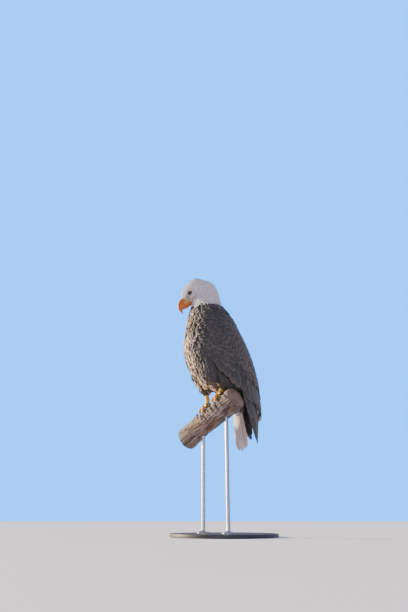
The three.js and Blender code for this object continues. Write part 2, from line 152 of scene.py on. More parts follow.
# ---------------------------------------------------------------- sizes and colours


class EagleSizes(bpy.types.PropertyGroup):
    """Depths and feather sizes of the bird."""

    coat_depth: FloatProperty(
        name="Coat depth", description="Skin below the feathers' surface on the body",
        default=0.006, unit="LENGTH")
    crown_feather: FloatProperty(
        name="Crown feather", description="Length of a feather on the crown",
        default=0.016, unit="LENGTH")
    hackle: FloatProperty(
        name="Neck hackle", description="Length of a pointed neck feather",
        default=0.036, unit="LENGTH")
    breast_feather: FloatProperty(
        name="Breast feather", description="Length of a breast feather",
        default=0.046, unit="LENGTH")
    mantle_feather: FloatProperty(
        name="Mantle feather", description="Length of a feather of the back",
        default=0.05, unit="LENGTH")
    thigh_feather: FloatProperty(
        name="Thigh feather", description="Length of a feather of the leg",
        default=0.036, unit="LENGTH")


class EagleColours(bpy.types.PropertyGroup):
    """Colours of the bird."""

    # the white is greyed and tinged lavender below the feathers' real white, as painted shade and
    # sky light on the head
    white: FloatVectorProperty(
        name="White", description="Head and tail", subtype="COLOR", size=3,
        default=(0.65, 0.62, 0.68))
    white_shade: FloatVectorProperty(
        name="White's shade", description="Darker tone of the head's feathers",
        subtype="COLOR", size=3, default=(0.55, 0.5, 0.51))
    # the tail's stain is real warm staining, deepened as painted shade over the tail
    tail_stain_and_shade: FloatVectorProperty(
        name="Tail's stain", description="Warm tone of the tail's feathers",
        subtype="COLOR", size=3, default=(0.3, 0.19, 0.13))
    brown: FloatVectorProperty(
        name="Brown", description="Body feathers", subtype="COLOR", size=3,
        default=(0.058, 0.061, 0.066))
    # the margin's warm, bright tone is partly painted low sunlight on the breast's front rims
    margin: FloatVectorProperty(
        name="Margin", description="Pale edge of a body feather", subtype="COLOR", size=3,
        default=(0.8, 0.58, 0.37))
    flight: FloatVectorProperty(
        name="Flight", description="Wing's long feathers", subtype="COLOR", size=3,
        default=(0.054, 0.058, 0.063))
    bill: FloatVectorProperty(
        name="Bill", description="Horn of the bill", subtype="COLOR", size=3,
        default=(0.47, 0.115, 0.005))
    bill_tip: FloatVectorProperty(
        name="Bill's tip", description="Deeper horn of the hook", subtype="COLOR", size=3,
        default=(0.42, 0.062, 0.0))
    cere: FloatVectorProperty(
        name="Cere", description="Bare skin at the bill's root and gape", subtype="COLOR",
        size=3, default=(0.5, 0.24, 0.03))
    foot: FloatVectorProperty(
        name="Foot", description="Scaly skin of the foot", subtype="COLOR", size=3,
        default=(0.68, 0.37, 0.05))
    # the iris is darker than its real pale yellow, as painted shade of the brow
    iris: FloatVectorProperty(
        name="Iris", description="Iris of the eye", subtype="COLOR", size=3,
        default=(0.34, 0.21, 0.04))


class StageSizes(bpy.types.PropertyGroup):
    """Camera and light."""

    distance: FloatProperty(
        name="Distance", description="Camera to the bird, level", default=2.0, unit="LENGTH")
    height: FloatProperty(
        name="Height", description="Camera above the floor", default=0.06, unit="LENGTH")
    azimuth: FloatProperty(
        name="Azimuth", description="Camera round the bird from its front",
        default=math.radians(72), subtype="ANGLE")
    pitch: FloatProperty(
        name="Pitch", description="Camera's upward tilt",
        default=math.radians(22.7), subtype="ANGLE")
    pan: FloatProperty(
        name="Pan", description="Camera's turn to the left",
        default=math.radians(2.05), subtype="ANGLE")
    lens: FloatProperty(
        name="Lens", description="Focal length in millimetres", default=29.94)


# ---------------------------------------------------------------- small helpers


def to_bird(points):
    """World points as millimetres in the bird's own frame."""
    return (np.asarray(points) - np.array(BIRD_ORIGIN)) / MM


def ease(value, low, high):
    """0 below low, 1 above high, smooth between."""
    t = np.clip((np.asarray(value, float) - low) / (high - low), 0, 1)
    return t * t * (3 - 2 * t)


def unit(vectors):
    return vectors / np.maximum(np.linalg.norm(vectors, axis=-1, keepdims=True), 1e-12)


def deselect():
    if bpy.context.object and bpy.context.object.mode != "OBJECT":
        bpy.ops.object.mode_set(mode="OBJECT")
    for item in list(bpy.context.selected_objects):
        item.select_set(False)


def take(piece):
    """Makes a piece the only selected and the active one."""
    deselect()
    piece.select_set(True)
    bpy.context.view_layer.objects.active = piece
    return piece


def apply_modifier(piece, kind, **settings):
    take(piece)
    modifier = piece.modifiers.new(kind.lower(), kind)
    for key, value in settings.items():
        setattr(modifier, key, value)
    bpy.ops.object.modifier_apply(modifier=modifier.name)


def copy_of(name, nodes):
    """A joined copy of some solids, with their loose triangles merged."""
    deselect()
    copies = []
    for node in nodes:
        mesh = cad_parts[node].data.copy()
        copy = bpy.data.objects.new(node + "_copy", mesh)
        bpy.context.scene.collection.objects.link(copy)
        copy.select_set(True)
        copies.append(copy)
    piece = copies[0]
    bpy.context.view_layer.objects.active = piece
    if len(copies) > 1:
        bpy.ops.object.join()
    piece.name = name
    piece.data.name = name
    piece.data.materials.clear()
    take(piece)
    bpy.ops.object.mode_set(mode="EDIT")
    bpy.ops.mesh.select_all(action="SELECT")
    bpy.ops.mesh.remove_doubles(threshold=0.00002)
    bpy.ops.object.mode_set(mode="OBJECT")
    return piece


def points_of(piece):
    flat = np.empty(len(piece.data.vertices) * 3)
    piece.data.vertices.foreach_get("co", flat)
    return flat.reshape(-1, 3)


def normals_of(piece):
    flat = np.empty(len(piece.data.vertices) * 3)
    piece.data.vertices.foreach_get("normal", flat)
    return flat.reshape(-1, 3)


def put_points(piece, points):
    piece.data.vertices.foreach_set("co", np.ascontiguousarray(points, float).ravel())
    piece.data.update()


def shade_smooth(piece):
    piece.data.polygons.foreach_set("use_smooth", np.ones(len(piece.data.polygons), bool))


def close_up(piece, merge=0.0, sides=0):
    """Merges a piece's seam, fills its open ends and turns its faces outward."""
    take(piece)
    bpy.ops.object.mode_set(mode="EDIT")
    bpy.ops.mesh.select_all(action="SELECT")
    if merge:
        bpy.ops.mesh.remove_doubles(threshold=merge)
    if sides:
        bpy.ops.mesh.fill_holes(sides=sides)
        bpy.ops.mesh.select_all(action="SELECT")
    bpy.ops.mesh.normals_make_consistent(inside=False)
    bpy.ops.object.mode_set(mode="OBJECT")


def tube(name, rings, merge=MERGE):
    """A closed piece through rings of points."""
    rows, spokes = rings.shape[:2]
    deselect()
    bpy.ops.mesh.primitive_grid_add(x_subdivisions=spokes, y_subdivisions=rows - 1, size=2)
    piece = bpy.context.object
    piece.name = piece.data.name = name
    flat = points_of(piece)
    column = np.rint((flat[:, 0] + 1) / 2 * spokes).astype(int) % spokes
    row = np.rint((flat[:, 1] + 1) / 2 * (rows - 1)).astype(int)
    put_points(piece, rings[row, column])
    close_up(piece, merge, spokes)
    return piece


def rounded(name, nodes, voxel, passes):
    """Solids joined to one closed form with its facets smoothed away."""
    piece = copy_of(name, nodes)
    apply_modifier(piece, "REMESH", mode="VOXEL", voxel_size=voxel, use_smooth_shade=True)
    apply_modifier(piece, "SMOOTH", factor=0.5, iterations=passes)
    return piece


def tree_of(piece):
    mesh = piece.data
    mesh.calc_loop_triangles()
    corners = np.empty(len(mesh.loop_triangles) * 3, np.int32)
    mesh.loop_triangles.foreach_get("vertices", corners)
    return BVHTree.FromPolygons(points_of(piece).tolist(), corners.reshape(-1, 3).tolist())


def nearest(tree, points):
    """The closest surface points, their normals and their triangles."""
    spots = np.empty((len(points), 3))
    normals = np.empty((len(points), 3))
    faces = np.empty(len(points), int)
    for i, point in enumerate(points):
        spot, normal, face, _ = tree.find_nearest(point)
        spots[i] = spot
        normals[i] = normal
        faces[i] = face
    return spots, normals, faces


def finish_piece(piece, material, nodes=()):
    if material is not None:
        piece.data.materials.clear()
        piece.data.materials.append(material)
    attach(piece, "root")
    if nodes:
        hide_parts(*nodes)
    return piece


def value_attribute(piece, name, values):
    """A single value on each vertex."""
    layer = piece.data.attributes.new(name, "FLOAT", "POINT")
    layer.data.foreach_set("value", np.ascontiguousarray(values, float))


def colour_attribute(piece, name, values):
    """A four-part value on each vertex."""
    layer = piece.data.attributes.new(name, "FLOAT_COLOR", "POINT")
    layer.data.foreach_set("color", np.ascontiguousarray(values, float).ravel())


# ---------------------------------------------------------------- the head's own frame


def middle_of(node):
    low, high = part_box(node)
    return (low + high) / 2


EYE_LEFT = middle_of("eye_left")
EYE_RIGHT = middle_of("eye_right")
HEAD_ORIGIN = (EYE_LEFT + EYE_RIGHT) / 2
HEAD_SIDE = (EYE_LEFT - EYE_RIGHT).normalized()
_ahead = HEAD_SIDE.cross(Vector((0, 0, 1))).normalized()
_ahead = _ahead if _ahead.y < 0 else -_ahead
HEAD_FRONT = _ahead * math.cos(HEAD_PITCH) - Vector((0, 0, 1)) * math.sin(HEAD_PITCH)
HEAD_UP = HEAD_FRONT.cross(HEAD_SIDE).normalized()
HEAD_AXES = np.array([HEAD_FRONT, HEAD_SIDE, HEAD_UP])


def to_head(points):
    """World points as millimetres ahead, left and up in the head's frame."""
    return (np.asarray(points) - np.array(HEAD_ORIGIN)) @ HEAD_AXES.T / MM


def from_head(points):
    return np.asarray(points) * MM @ HEAD_AXES + np.array(HEAD_ORIGIN)


# ---------------------------------------------------------------- materials


class Graph:
    """A material's nodes, added one call at a time."""

    def __init__(self, name, roughness=0.6, **constants):
        self.material = bpy.data.materials.new(name)
        self.material.use_nodes = True
        self.nodes = self.material.node_tree.nodes
        self.links = self.material.node_tree.links
        self.shader = self.nodes["Principled BSDF"]
        self.shader.inputs["Roughness"].default_value = roughness
        for key, value in constants.items():
            self.shader.inputs[key.replace("_", " ")].default_value = value

    def node(self, kind, inputs=(), **settings):
        made = self.nodes.new(kind)
        for key, value in settings.items():
            setattr(made, key, value)
        for key, value in dict(inputs).items():
            if isinstance(value, bpy.types.NodeSocket):
                self.links.new(value, made.inputs[key])
            else:
                made.inputs[key].default_value = value
        return made

    def math(self, operation, first, second=0.0, third=0.0):
        made = self.node("ShaderNodeMath", {0: first, 1: second, 2: third}, operation=operation)
        return made.outputs[0]

    def mix(self, share, first, second):
        made = self.node("ShaderNodeMix", data_type="RGBA")
        for socket, value in ((0, share), (6, first), (7, second)):
            if isinstance(value, bpy.types.NodeSocket):
                self.links.new(value, made.inputs[socket])
            else:
                made.inputs[socket].default_value = value
        return made.outputs[2]

    def rescale(self, value, low, high, first=0.0, last=1.0):
        made = self.node(
            "ShaderNodeMapRange", {0: value, 1: low, 2: high, 3: first, 4: last})
        return made.outputs[0]

    def place(self, stretch=None):
        coordinates = self.node("ShaderNodeTexCoord").outputs["Object"]
        if stretch is None:
            return coordinates
        return self.node("ShaderNodeMapping", {"Vector": coordinates, "Scale": stretch}).outputs[0]

    def noise(self, scale, detail=3.0, vector=None, roughness=0.55):
        source = vector if vector is not None else self.place()
        made = self.node(
            "ShaderNodeTexNoise",
            {"Vector": source, "Scale": scale, "Detail": detail, "Roughness": roughness})
        return made.outputs[0]

    def stored(self, name, output="Fac"):
        """A stored attribute."""
        return self.node("ShaderNodeAttribute", attribute_name=name).outputs[output]

    def values(self, name):
        """The three parts of a stored colour attribute."""
        return self.node("ShaderNodeSeparateColor", {0: self.stored(name, "Color")}).outputs

    def colour(self, value):
        self.links.new(value, self.shader.inputs["Base Color"])

    def rough(self, value):
        self.links.new(value, self.shader.inputs["Roughness"])

    def bump(self, height, distance, strength=1.0):
        made = self.node(
            "ShaderNodeBump", {"Height": height, "Strength": strength, "Distance": distance})
        previous = self.shader.inputs["Normal"]
        if previous.is_linked:
            self.links.new(previous.links[0].from_socket, made.inputs["Normal"])
        self.links.new(made.outputs[0], previous)


def rgba(colour, scale=1.0):
    return (*(min(c * scale, 1.0) for c in colour), 1.0)


def feather_material(name, base, shade, margin, roughness):
    """A vane: tone from feather to feather, pale rim, dark shaft, fine barbs.

    The stored "plume" value holds the tone and the strength of the pale rim; a strong rim is
    painted rim light, a faint one the real pale fringe.
    """
    g = Graph(name, roughness, Specular_IOR_Level=0.2, Sheen_Weight=0.1, Sheen_Roughness=0.5)
    tone, rim = g.values("plume")[:2]
    uv = g.node("ShaderNodeUVMap", uv_map="Vane").outputs[0]
    across, along, _ = g.node("ShaderNodeSeparateXYZ", {0: uv}).outputs
    off_shaft = g.math("ABSOLUTE", g.math("MULTIPLY_ADD", across, 2.0, -1.0))
    to_tip = g.rescale(along, 0.55, 1.0)
    # a strong rim is also a broad one, which leaves a dark drop along the shaft
    narrow = g.rescale(rim, 0.6, 1.6, 4.0, 1.9)
    edge = g.math("MAXIMUM", g.math("POWER", off_shaft, narrow), g.math("POWER", to_tip, narrow))
    edge = g.math("MULTIPLY", edge, g.rescale(along, 0.15, 0.6))
    edge = g.math("MINIMUM", g.math("MULTIPLY", edge, rim), 1.0)
    patch = g.noise(38, 4)
    body = g.mix(g.rescale(tone, 0.0, 1.0, 0.0, 0.9), rgba(base), rgba(shade))
    body = g.mix(g.rescale(patch, 0.35, 0.7, 0.0, 0.4), body, rgba(shade))
    slant = g.math("MULTIPLY_ADD", off_shaft, -0.35, along)
    lie = g.node("ShaderNodeCombineXYZ", {0: g.math("MULTIPLY", slant, 34.0),
                                          1: g.math("MULTIPLY", across, 2.2),
                                          2: g.math("MULTIPLY", tone, 40.0)}).outputs[0]
    barb = g.noise(1.0, 4, lie, 0.7)
    body = g.mix(g.rescale(barb, 0.36, 0.62, 0.6, 0.0), body, rgba(shade))
    body = g.mix(g.rescale(barb, 0.52, 0.8, 0.0, 0.1), body, rgba(margin))
    body = g.mix(edge, body, rgba(margin))
    shaft = g.math("MULTIPLY", g.rescale(off_shaft, 0.0, 0.16, 1.0, 0.0), 0.35)
    body = g.mix(shaft, body, rgba(shade, 0.6))
    g.colour(body)
    g.bump(barb, 0.0008, 0.6)
    barbs = g.math("SINE", g.math("MULTIPLY", slant, 420.0))
    g.bump(barbs, 0.0001, 0.2)
    return g.material


# ---------------------------------------------------------------- vanes


class Pattern:
    """One vane modelled flat, ready to be laid: (share of length, share of width) by rows."""

    def __init__(self, columns, outline):
        rows = len(outline) - 1
        deselect()
        bpy.ops.mesh.primitive_grid_add(
            x_subdivisions=columns, y_subdivisions=rows, size=2, calc_uvs=True)
        piece = bpy.context.object
        bpy.ops.object.mode_set(mode="EDIT")
        bpy.ops.mesh.select_mode(type="VERT")
        for row, (_, width) in enumerate(outline):
            level = -1 + 2 * row / rows
            bpy.ops.mesh.select_all(action="DESELECT")
            grid = bmesh.from_edit_mesh(piece.data)
            for vertex in grid.verts:
                vertex.select = abs(vertex.co.y - level) < 0.4 / rows
            grid.select_flush(True)
            bpy.ops.transform.resize(value=(width, 1, 1), center_override=(0, level, 0))
        bpy.ops.object.mode_set(mode="OBJECT")
        apply_modifier(piece, "SOLIDIFY", thickness=1.0, offset=-1.0)
        mesh = piece.data
        points = points_of(piece)
        self.across = points[:, 0]
        self.row = np.rint((points[:, 1] + 1) / 2 * rows).astype(int)
        self.depth = points[:, 2]
        self.share = np.array([share for share, _ in outline])
        self.corners = np.empty(len(mesh.loops), np.int32)
        mesh.loops.foreach_get("vertex_index", self.corners)
        tilt = np.empty(len(mesh.polygons) * 3)
        mesh.polygons.foreach_get("normal", tilt)
        self.rim = np.abs(tilt.reshape(-1, 3)[:, 2]) < 0.5
        widths = np.array([max(width, 0.05) for _, width in outline])
        across = 0.5 + 0.5 * self.across / widths[self.row]
        self.uv = np.stack([across, self.share[self.row]], 1)[self.corners]
        assert len(self.corners) == 4 * len(mesh.polygons)
        bpy.data.objects.remove(piece)


def march(tree, roots, flow, share, lengths, widths, swing):
    """Leads feathers over a surface, row by row.

    Returns their middle lines, the surface's normals there, the way to their sides, and how
    far the surface falls away on either side.
    """
    rows, number = len(share), len(roots)
    centre = np.empty((rows, number, 3))
    normal = np.empty((rows, number, 3))
    side_at = np.empty((rows, number, 3))
    fall = np.empty((rows, 2, number))
    spot, normals, _ = nearest(tree, roots)
    way = None
    for row in range(rows):
        if row:
            step = (share[row] - share[row - 1]) * lengths
            spot, normals, _ = nearest(tree, spot + way * step[:, None])
        pull = flow(spot)
        pull = unit(pull - (pull * normals).sum(1, keepdims=True) * normals)
        pull = unit(pull + np.cross(normals, pull) * swing)
        way = pull if way is None else way * HOLD + pull * (1 - HOLD)
        way = unit(way - (way * normals).sum(1, keepdims=True) * normals)
        side = unit(np.cross(way, normals))
        centre[row], normal[row], side_at[row] = spot, normals, side
        for k, sign in enumerate((-1, 1)):
            under, _, _ = nearest(tree, spot + side * (sign * 0.45 * widths)[:, None])
            drop = ((under - spot) * normals).sum(1)
            fall[row, k] = np.clip(drop, -0.5 * widths, 0.12 * widths)
    return centre, normal, side_at, fall


class Coat:
    """Feathers laid over a surface and joined as one piece."""

    def __init__(self, name, unwrap):
        self.name = name
        self.unwrap = unwrap
        self.parts = []

    def lay(self, pattern, tree, roots, flow, length, width, rng, root_depth=3.0,
            tip_lift=0.0, thick=0.45, arch=0.12, jitter=0.08, ragged=0.03, roll=0.05,
            uneven=0.3, stack=0.0, rim=0.0, spread=0.08):
        """Lays one vane at each root, led by the flow over the tree's surface.

        Depths, lifts, lengths and widths are millimetres, jitter and roll radians, and arch
        and ragged shares of the width. Length, width, stack and rim may be arrays.
        """
        number = len(roots)
        if not number:
            return
        share = pattern.share
        rows = len(share)
        lengths = length * MM * rng.uniform(1 - spread, 1 + spread, number)
        widths = width * MM * rng.uniform(1 - spread, 1 + spread, number)
        swing = rng.normal(0, jitter, number)[:, None]
        homes, _, _ = nearest(tree, roots)
        centre, normal, side_at, fall = march(tree, roots, flow, share, lengths, widths, swing)
        # a feather that would fold over an edge is left out
        straight = np.linalg.norm(centre[-1] - centre[0], axis=1) > FOLDED * lengths
        centre, normal, side_at = centre[:, straight], normal[:, straight], side_at[:, straight]
        fall = fall[..., straight]
        homes, lengths, widths = homes[straight], lengths[straight], widths[straight]
        stack, rim = (part[straight] if np.ndim(part) else part for part in (stack, rim))
        number = len(lengths)
        for _ in range(2):
            for bent in (centre, normal):
                bent[1:-1] = (bent[:-2] + 2 * bent[1:-1] + bent[2:]) / 4
        normal = unit(normal)
        along = share[:, None]
        lift = stack + rng.normal(0, uneven, number)
        height = (tip_lift * along ** 2 - root_depth * (1 - along) ** 1.3 + lift) * MM
        off = pattern.across
        row_of = pattern.row
        which = (off > 0).astype(int)
        rough = rng.normal(0, ragged, (number, rows, 2))
        rough[:, :2] = 0
        off = off[None, :] * (1 + rough[:, row_of, which])
        tilt = rng.normal(0, roll, number)[:, None]
        level = height[row_of].T + fall[row_of, which].T * off ** 2
        level = level - arch * widths[:, None] * off ** 2 * 0.5
        level = level + tilt * off * widths[:, None] * 0.5
        level = level + pattern.depth[None, :] * thick * MM * (1 - 0.6 * np.abs(off))
        place = centre[row_of].transpose(1, 0, 2)
        place = place + side_at[row_of].transpose(1, 0, 2) * (off * widths[:, None] / 2)[..., None]
        place = place + normal[row_of].transpose(1, 0, 2) * level[..., None]
        plume = np.ones((number, 4))
        plume[:, 0] = rng.uniform(0, 1, number)
        plume[:, 1] = rim * rng.uniform(0.5, 1.3, number)
        self.parts.append((pattern, place, plume, self.unwrap(homes)))

    def make(self, material, nodes=()):
        mesh = bpy.data.meshes.new(self.name)
        points, corners, rims, vane, bake, plume = [], [], [], [], [], []
        base = 0
        for pattern, place, values, home in self.parts:
            number, size = place.shape[:2]
            points.append(place.reshape(-1, 3))
            offsets = base + np.arange(number)[:, None] * size
            corners.append((pattern.corners[None, :] + offsets).ravel())
            rims.append(np.tile(pattern.rim, number))
            vane.append(np.tile(pattern.uv, (number, 1)))
            patch = home[:, None, :] + (pattern.uv[None, :, :] - 0.5) * BAKE_PATCH
            bake.append(patch.reshape(-1, 2))
            plume.append(np.repeat(values, size, axis=0))
            base += number * size
        points, corners, rims, vane, bake, plume = (
            np.concatenate(part) for part in (points, corners, rims, vane, bake, plume))
        mesh.vertices.add(len(points))
        mesh.vertices.foreach_set("co", points.ravel())
        mesh.loops.add(len(corners))
        mesh.loops.foreach_set("vertex_index", corners.astype(np.int32))
        mesh.polygons.add(len(rims))
        mesh.polygons.foreach_set("loop_start", np.arange(len(rims), dtype=np.int32) * 4)
        mesh.polygons.foreach_set("use_smooth", ~rims)
        mesh.uv_layers.new(name="Vane").data.foreach_set("uv", vane.ravel())
        mesh.uv_layers.new(name="OFBake").data.foreach_set("uv", bake.ravel())
        mesh.update(calc_edges=True)
        piece = bpy.data.objects.new(self.name, mesh)
        bpy.context.scene.collection.objects.link(piece)
        colour_attribute(piece, "plume", plume)
        triangles = len(rims) * 2
        if triangles > MOST_TRIANGLES:
            raise ValueError(f"{self.name} has {triangles} triangles")
        return finish_piece(piece, material, nodes)


# ---------------------------------------------------------------- forms and flows


class Bird:
    """What the operators share: the rounded form, its zones and its flow."""

    form = None
    tree = None
    fold_tree = None
    bill_tree = None
    zone_tree = None
    zone_of_face = None
    stream = None


FLESH = ("head", "neck", "trunk", "wing_left", "wing_right", "thigh_left", "thigh_right",
         "tail_coverts")


def zones_of(points):
    """The name of the solid under each point."""
    _, _, faces = nearest(Bird.zone_tree, points)
    return Bird.zone_of_face[faces]


def smooth_rows(rows, count):
    """Rows of numbers, resampled on smooth curves through them."""
    rows = np.asarray(rows, float)
    place = np.linspace(0, len(rows) - 1, count)
    first = np.minimum(place.astype(int), len(rows) - 2)
    t = (place - first)[:, None]
    a, b, c, d = (rows[np.clip(first + k, 0, len(rows) - 1)] for k in (-1, 0, 1, 2))
    return 0.5 * (2 * b + (c - a) * t + (2 * a - 5 * b + 4 * c - d) * t ** 2
                  + (3 * b - a - 3 * c + d) * t ** 3)


def sheet_tree(grid, closed):
    """A search tree over a grid of points, facing the way its rows and columns turn."""
    rows, columns = grid.shape[:2]
    index = np.arange(rows * columns).reshape(rows, columns)
    after = np.roll(index, -1, axis=1) if closed else index[:, 1:]
    before = index if closed else index[:, :-1]
    quads = np.stack([before[:-1], before[1:], after[1:], after[:-1]], -1).reshape(-1, 4)
    return BVHTree.FromPolygons(grid.reshape(-1, 3).tolist(), quads.tolist())


def fold_sizes(height):
    """Middle, half-width and half-depth of the folded wings' form at a height."""
    rows = smooth_rows(FOLD, 200)[::-1]
    return (np.interp(height, rows[:, 0], rows[:, k]) for k in (1, 2, 3))


def fold_point(height, degrees, outward, side):
    """World point on the folded wings' form, as arrays."""
    middle, wide, deep = fold_sizes(height)
    angle = np.radians(degrees)
    x = side * (wide + outward) * np.sin(angle)
    y = middle - (deep + outward) * np.cos(angle)
    return np.array(BIRD_ORIGIN) + np.stack([x, y, height + 0 * x], -1) * MM


def fold_place(points):
    """Height, and degrees round from the breast, on the folded wings' form."""
    bird = to_bird(points)
    middle, wide, deep = fold_sizes(bird[:, 2])
    turn = np.arctan2(np.abs(bird[:, 0]) / wide, (middle - bird[:, 1]) / deep)
    return bird[:, 2], np.degrees(turn)


def over_edge(points):
    """Height over the folded wing's lower edge, as a share of the long feathers' reach."""
    height, degrees = fold_place(points)
    above = height - np.interp(degrees, WING_EDGE[:, 0], WING_EDGE[:, 1])
    return above / wing_reach(degrees)


def wing_reach(degrees):
    """Length of the long feathers round the wing: short at the wrist, long behind."""
    return np.interp(degrees, (43, 60, 85, 110, 176), (46, 84, 128, 165, 165))


def tail_point(across, share):
    """World point on the tail's mid surface."""
    along = TAIL_TIP - TAIL_TOP
    back = np.array((0, -along[2], along[1])) / np.hypot(along[1], along[2])
    width = 60 + 48 * np.sin(share * math.pi / 2.4)
    out = across * width / 2
    rise = out * math.sin(TAIL_TWIST) + 7 * (1 - across ** 2) * share
    point = TAIL_TOP + along * np.asarray(share)[..., None] + back * rise[..., None]
    point[..., 0] += out * math.cos(TAIL_TWIST)
    return np.array(BIRD_ORIGIN) + point * MM


def body_angle(points):
    """Degrees round the body from the breast, 0 to 180 on both sides."""
    bird = to_bird(points)
    middle = np.interp(bird[:, 2], AXIS_HEIGHTS, AXIS_BACKS)
    return np.degrees(np.arctan2(np.abs(bird[:, 0]), middle - bird[:, 1]))


def body_unwrap(points):
    """Roots on a cylinder unrolled round the body, its seam down the back."""
    bird = to_bird(points)
    middle = np.interp(bird[:, 2], AXIS_HEIGHTS, AXIS_BACKS)
    turn = np.arctan2(bird[:, 0], middle - bird[:, 1]) / (2 * math.pi) + 0.5
    return np.stack([0.02 + 0.96 * turn, 0.02 + 0.96 * (bird[:, 2] + 230) / 760], 1)


def head_unwrap(points):
    """Roots on a globe unrolled round the head, its seam under the bill."""
    head = to_head(points) + np.array([30, 0, 5])
    turn = np.arctan2(head[:, 1], head[:, 2]) / (2 * math.pi) + 0.5
    rise = np.arctan2(head[:, 0], np.hypot(head[:, 1], head[:, 2])) / math.pi + 0.5
    return np.stack([0.02 + 0.96 * turn, 0.02 + 0.96 * rise], 1)


def body_flow(points):
    """Down the body and a little back, closing in below."""
    bird = to_bird(points)
    way = np.zeros_like(bird)
    way[:, 1] = 0.2
    way[:, 2] = -1
    way[:, 0] = -0.0008 * bird[:, 0] * ease(-bird[:, 2], -120, -20)
    return way


def leg_flow(points):
    return np.tile(np.array([0, 0.05, -1.0]), (len(points), 1))


def wing_flow(side):
    """Towards the wing's tip."""
    target = np.array([side * 50, 150, -205])

    def flow(points):
        return unit(target - to_bird(points))

    return flow


def towards(targets):
    """A flow that leads each feather to its own target."""
    def flow(points):
        return unit(targets - points)

    return flow


def upstream(tree, points, flow, distance):
    """Points led back against a flow over a surface, by their own distances in millimetres."""
    spots, normals, _ = nearest(tree, points)
    step = np.broadcast_to(distance, (len(points),))[:, None] * MM / 16
    for _ in range(16):
        way = flow(spots)
        way = unit(way - (way * normals).sum(1, keepdims=True) * normals)
        spots, normals, _ = nearest(tree, spots - way * step)
    return spots


class Stream:
    """The way the head's feathers lie: from the bill, over the skull and down the neck.

    A value is spread evenly over the form from 0 at the bill to 1 at the neck's foot, and
    the feathers follow its rise.
    """

    def __init__(self, piece):
        points = points_of(piece)
        mesh = piece.data
        edges = np.empty(len(mesh.edges) * 2, np.int32)
        mesh.edges.foreach_get("vertices", edges)
        edges = edges.reshape(-1, 2)
        high = to_bird(points)[:, 2]
        inside = high > 318
        number = np.cumsum(inside) - 1
        edges = number[edges[inside[edges].all(1)]]
        points, high = points[inside], high[inside]
        far = np.linalg.norm(to_head(points) - np.array([30, 0, -6]), axis=1)
        held = (far < 21) | (high < 326)
        value = np.clip(far / 200, 0, 1)
        value[far < 21], value[high < 326] = 0, 1
        a, b = edges.T
        size = len(points)
        degree = np.maximum(np.bincount(edges.ravel(), minlength=size), 1)
        for _ in range(1500):
            total = np.bincount(a, value[b], size) + np.bincount(b, value[a], size)
            value = np.where(held, value, total / degree)
        run = points[b] - points[a]
        rise = ((value[b] - value[a]) / (run ** 2).sum(1))[:, None] * run
        way = np.stack([np.bincount(a, rise[:, k], size) + np.bincount(b, rise[:, k], size)
                        for k in range(3)], 1)
        way = unit(way)
        for _ in range(10):
            way = unit(way + np.stack(
                [np.bincount(a, way[b, k], size) + np.bincount(b, way[a, k], size)
                 for k in range(3)], 1) / degree[:, None])
        self.way = way
        self.store = KDTree(size)
        for i, point in enumerate(points):
            self.store.insert(point, i)
        self.store.balance()

    def __call__(self, points):
        nearby = [self.store.find(point)[1] for point in points]
        share = ease(to_bird(points)[:, 2], 340, 385)[:, None]
        return self.way[nearby] * share + unit(body_flow(points)) * (1 - share)


def scatter(piece, spacing, keep, rng):
    """Points spread over a form at a spacing in millimetres that may vary over it."""
    mesh = piece.data
    mesh.calc_loop_triangles()
    corners = np.empty(len(mesh.loop_triangles) * 3, np.int32)
    mesh.loop_triangles.foreach_get("vertices", corners)
    a, b, c = (points_of(piece)[corners.reshape(-1, 3)[:, k]] for k in range(3))
    middle = (a + b + c) / 3
    wanted = keep(middle)
    a, b, c, middle = a[wanted], b[wanted], c[wanted], middle[wanted]
    area = np.linalg.norm(np.cross(b - a, c - a), axis=1) / 2
    weight = area / (spacing(middle) * MM) ** 2
    number = int(weight.sum() * TRIES)
    chosen = rng.choice(len(a), number, p=weight / weight.sum())
    u, v = rng.uniform(0, 1, (2, number))
    flip = u + v > 1
    u[flip], v[flip] = 1 - u[flip], 1 - v[flip]
    spots = a[chosen] + (b - a)[chosen] * u[:, None] + (c - a)[chosen] * v[:, None]
    reach = spacing(spots) * MM
    store = KDTree(number)
    for i, spot in enumerate(spots):
        store.insert(spot, i)
    store.balance()
    taken = np.zeros(number, bool)
    kept = []
    for i in range(number):
        if taken[i]:
            continue
        kept.append(i)
        for _, j, _ in store.find_range(spots[i], reach[i]):
            taken[j] = True
    return spots[kept]


def even(size):
    return lambda points: np.full(len(points), float(size))


def gaze(side):
    """The way an eye looks."""
    return unit(np.array([0.42, side * 0.9, -0.04])) @ HEAD_AXES


def off_gaze(points):
    """Millimetres from the nearer eye's line of sight, or 99 far from the eyes.

    They count for more above the eye, so that what keeps clear of it comes closer there.
    """
    least = np.full(len(points), 99.0)
    for centre, side in ((EYE_LEFT, 1), (EYE_RIGHT, -1)):
        away = (points - np.array(centre)) / MM
        ahead = away @ gaze(side)
        aside = away - ahead[:, None] * gaze(side)
        rise = np.maximum(aside @ HEAD_AXES[2], 0)
        off = np.sqrt((aside ** 2).sum(1) + 0.9 * rise ** 2)
        least = np.where((ahead > -8) & (ahead < 30), np.minimum(least, off), least)
    return least


def face_share(points):
    """0 at the face, 1 behind the crown."""
    head = to_head(points)
    return ease(np.linalg.norm(head - np.array([24, 0, -8]), axis=1), 24, 84)


def hood_edge(points):
    """Height over the hood's lower edge, which hangs lower at the throat."""
    bird = to_bird(points)
    front = ease(-bird[:, 1], 62, 96)
    ripple = 3 * np.sin(points[:, 0] * 160 + points[:, 1] * 90)
    return bird[:, 2] - HOOD_LEVEL + 3 + 18 * front + ripple


def lore_share(points):
    """1 on the bare skin between eye and bill."""
    head = to_head(points)
    away = np.hypot((head[:, 0] - 25) / 13, (head[:, 2] + 8) / 12)
    return 1 - ease(away, 0.7, 1.15)


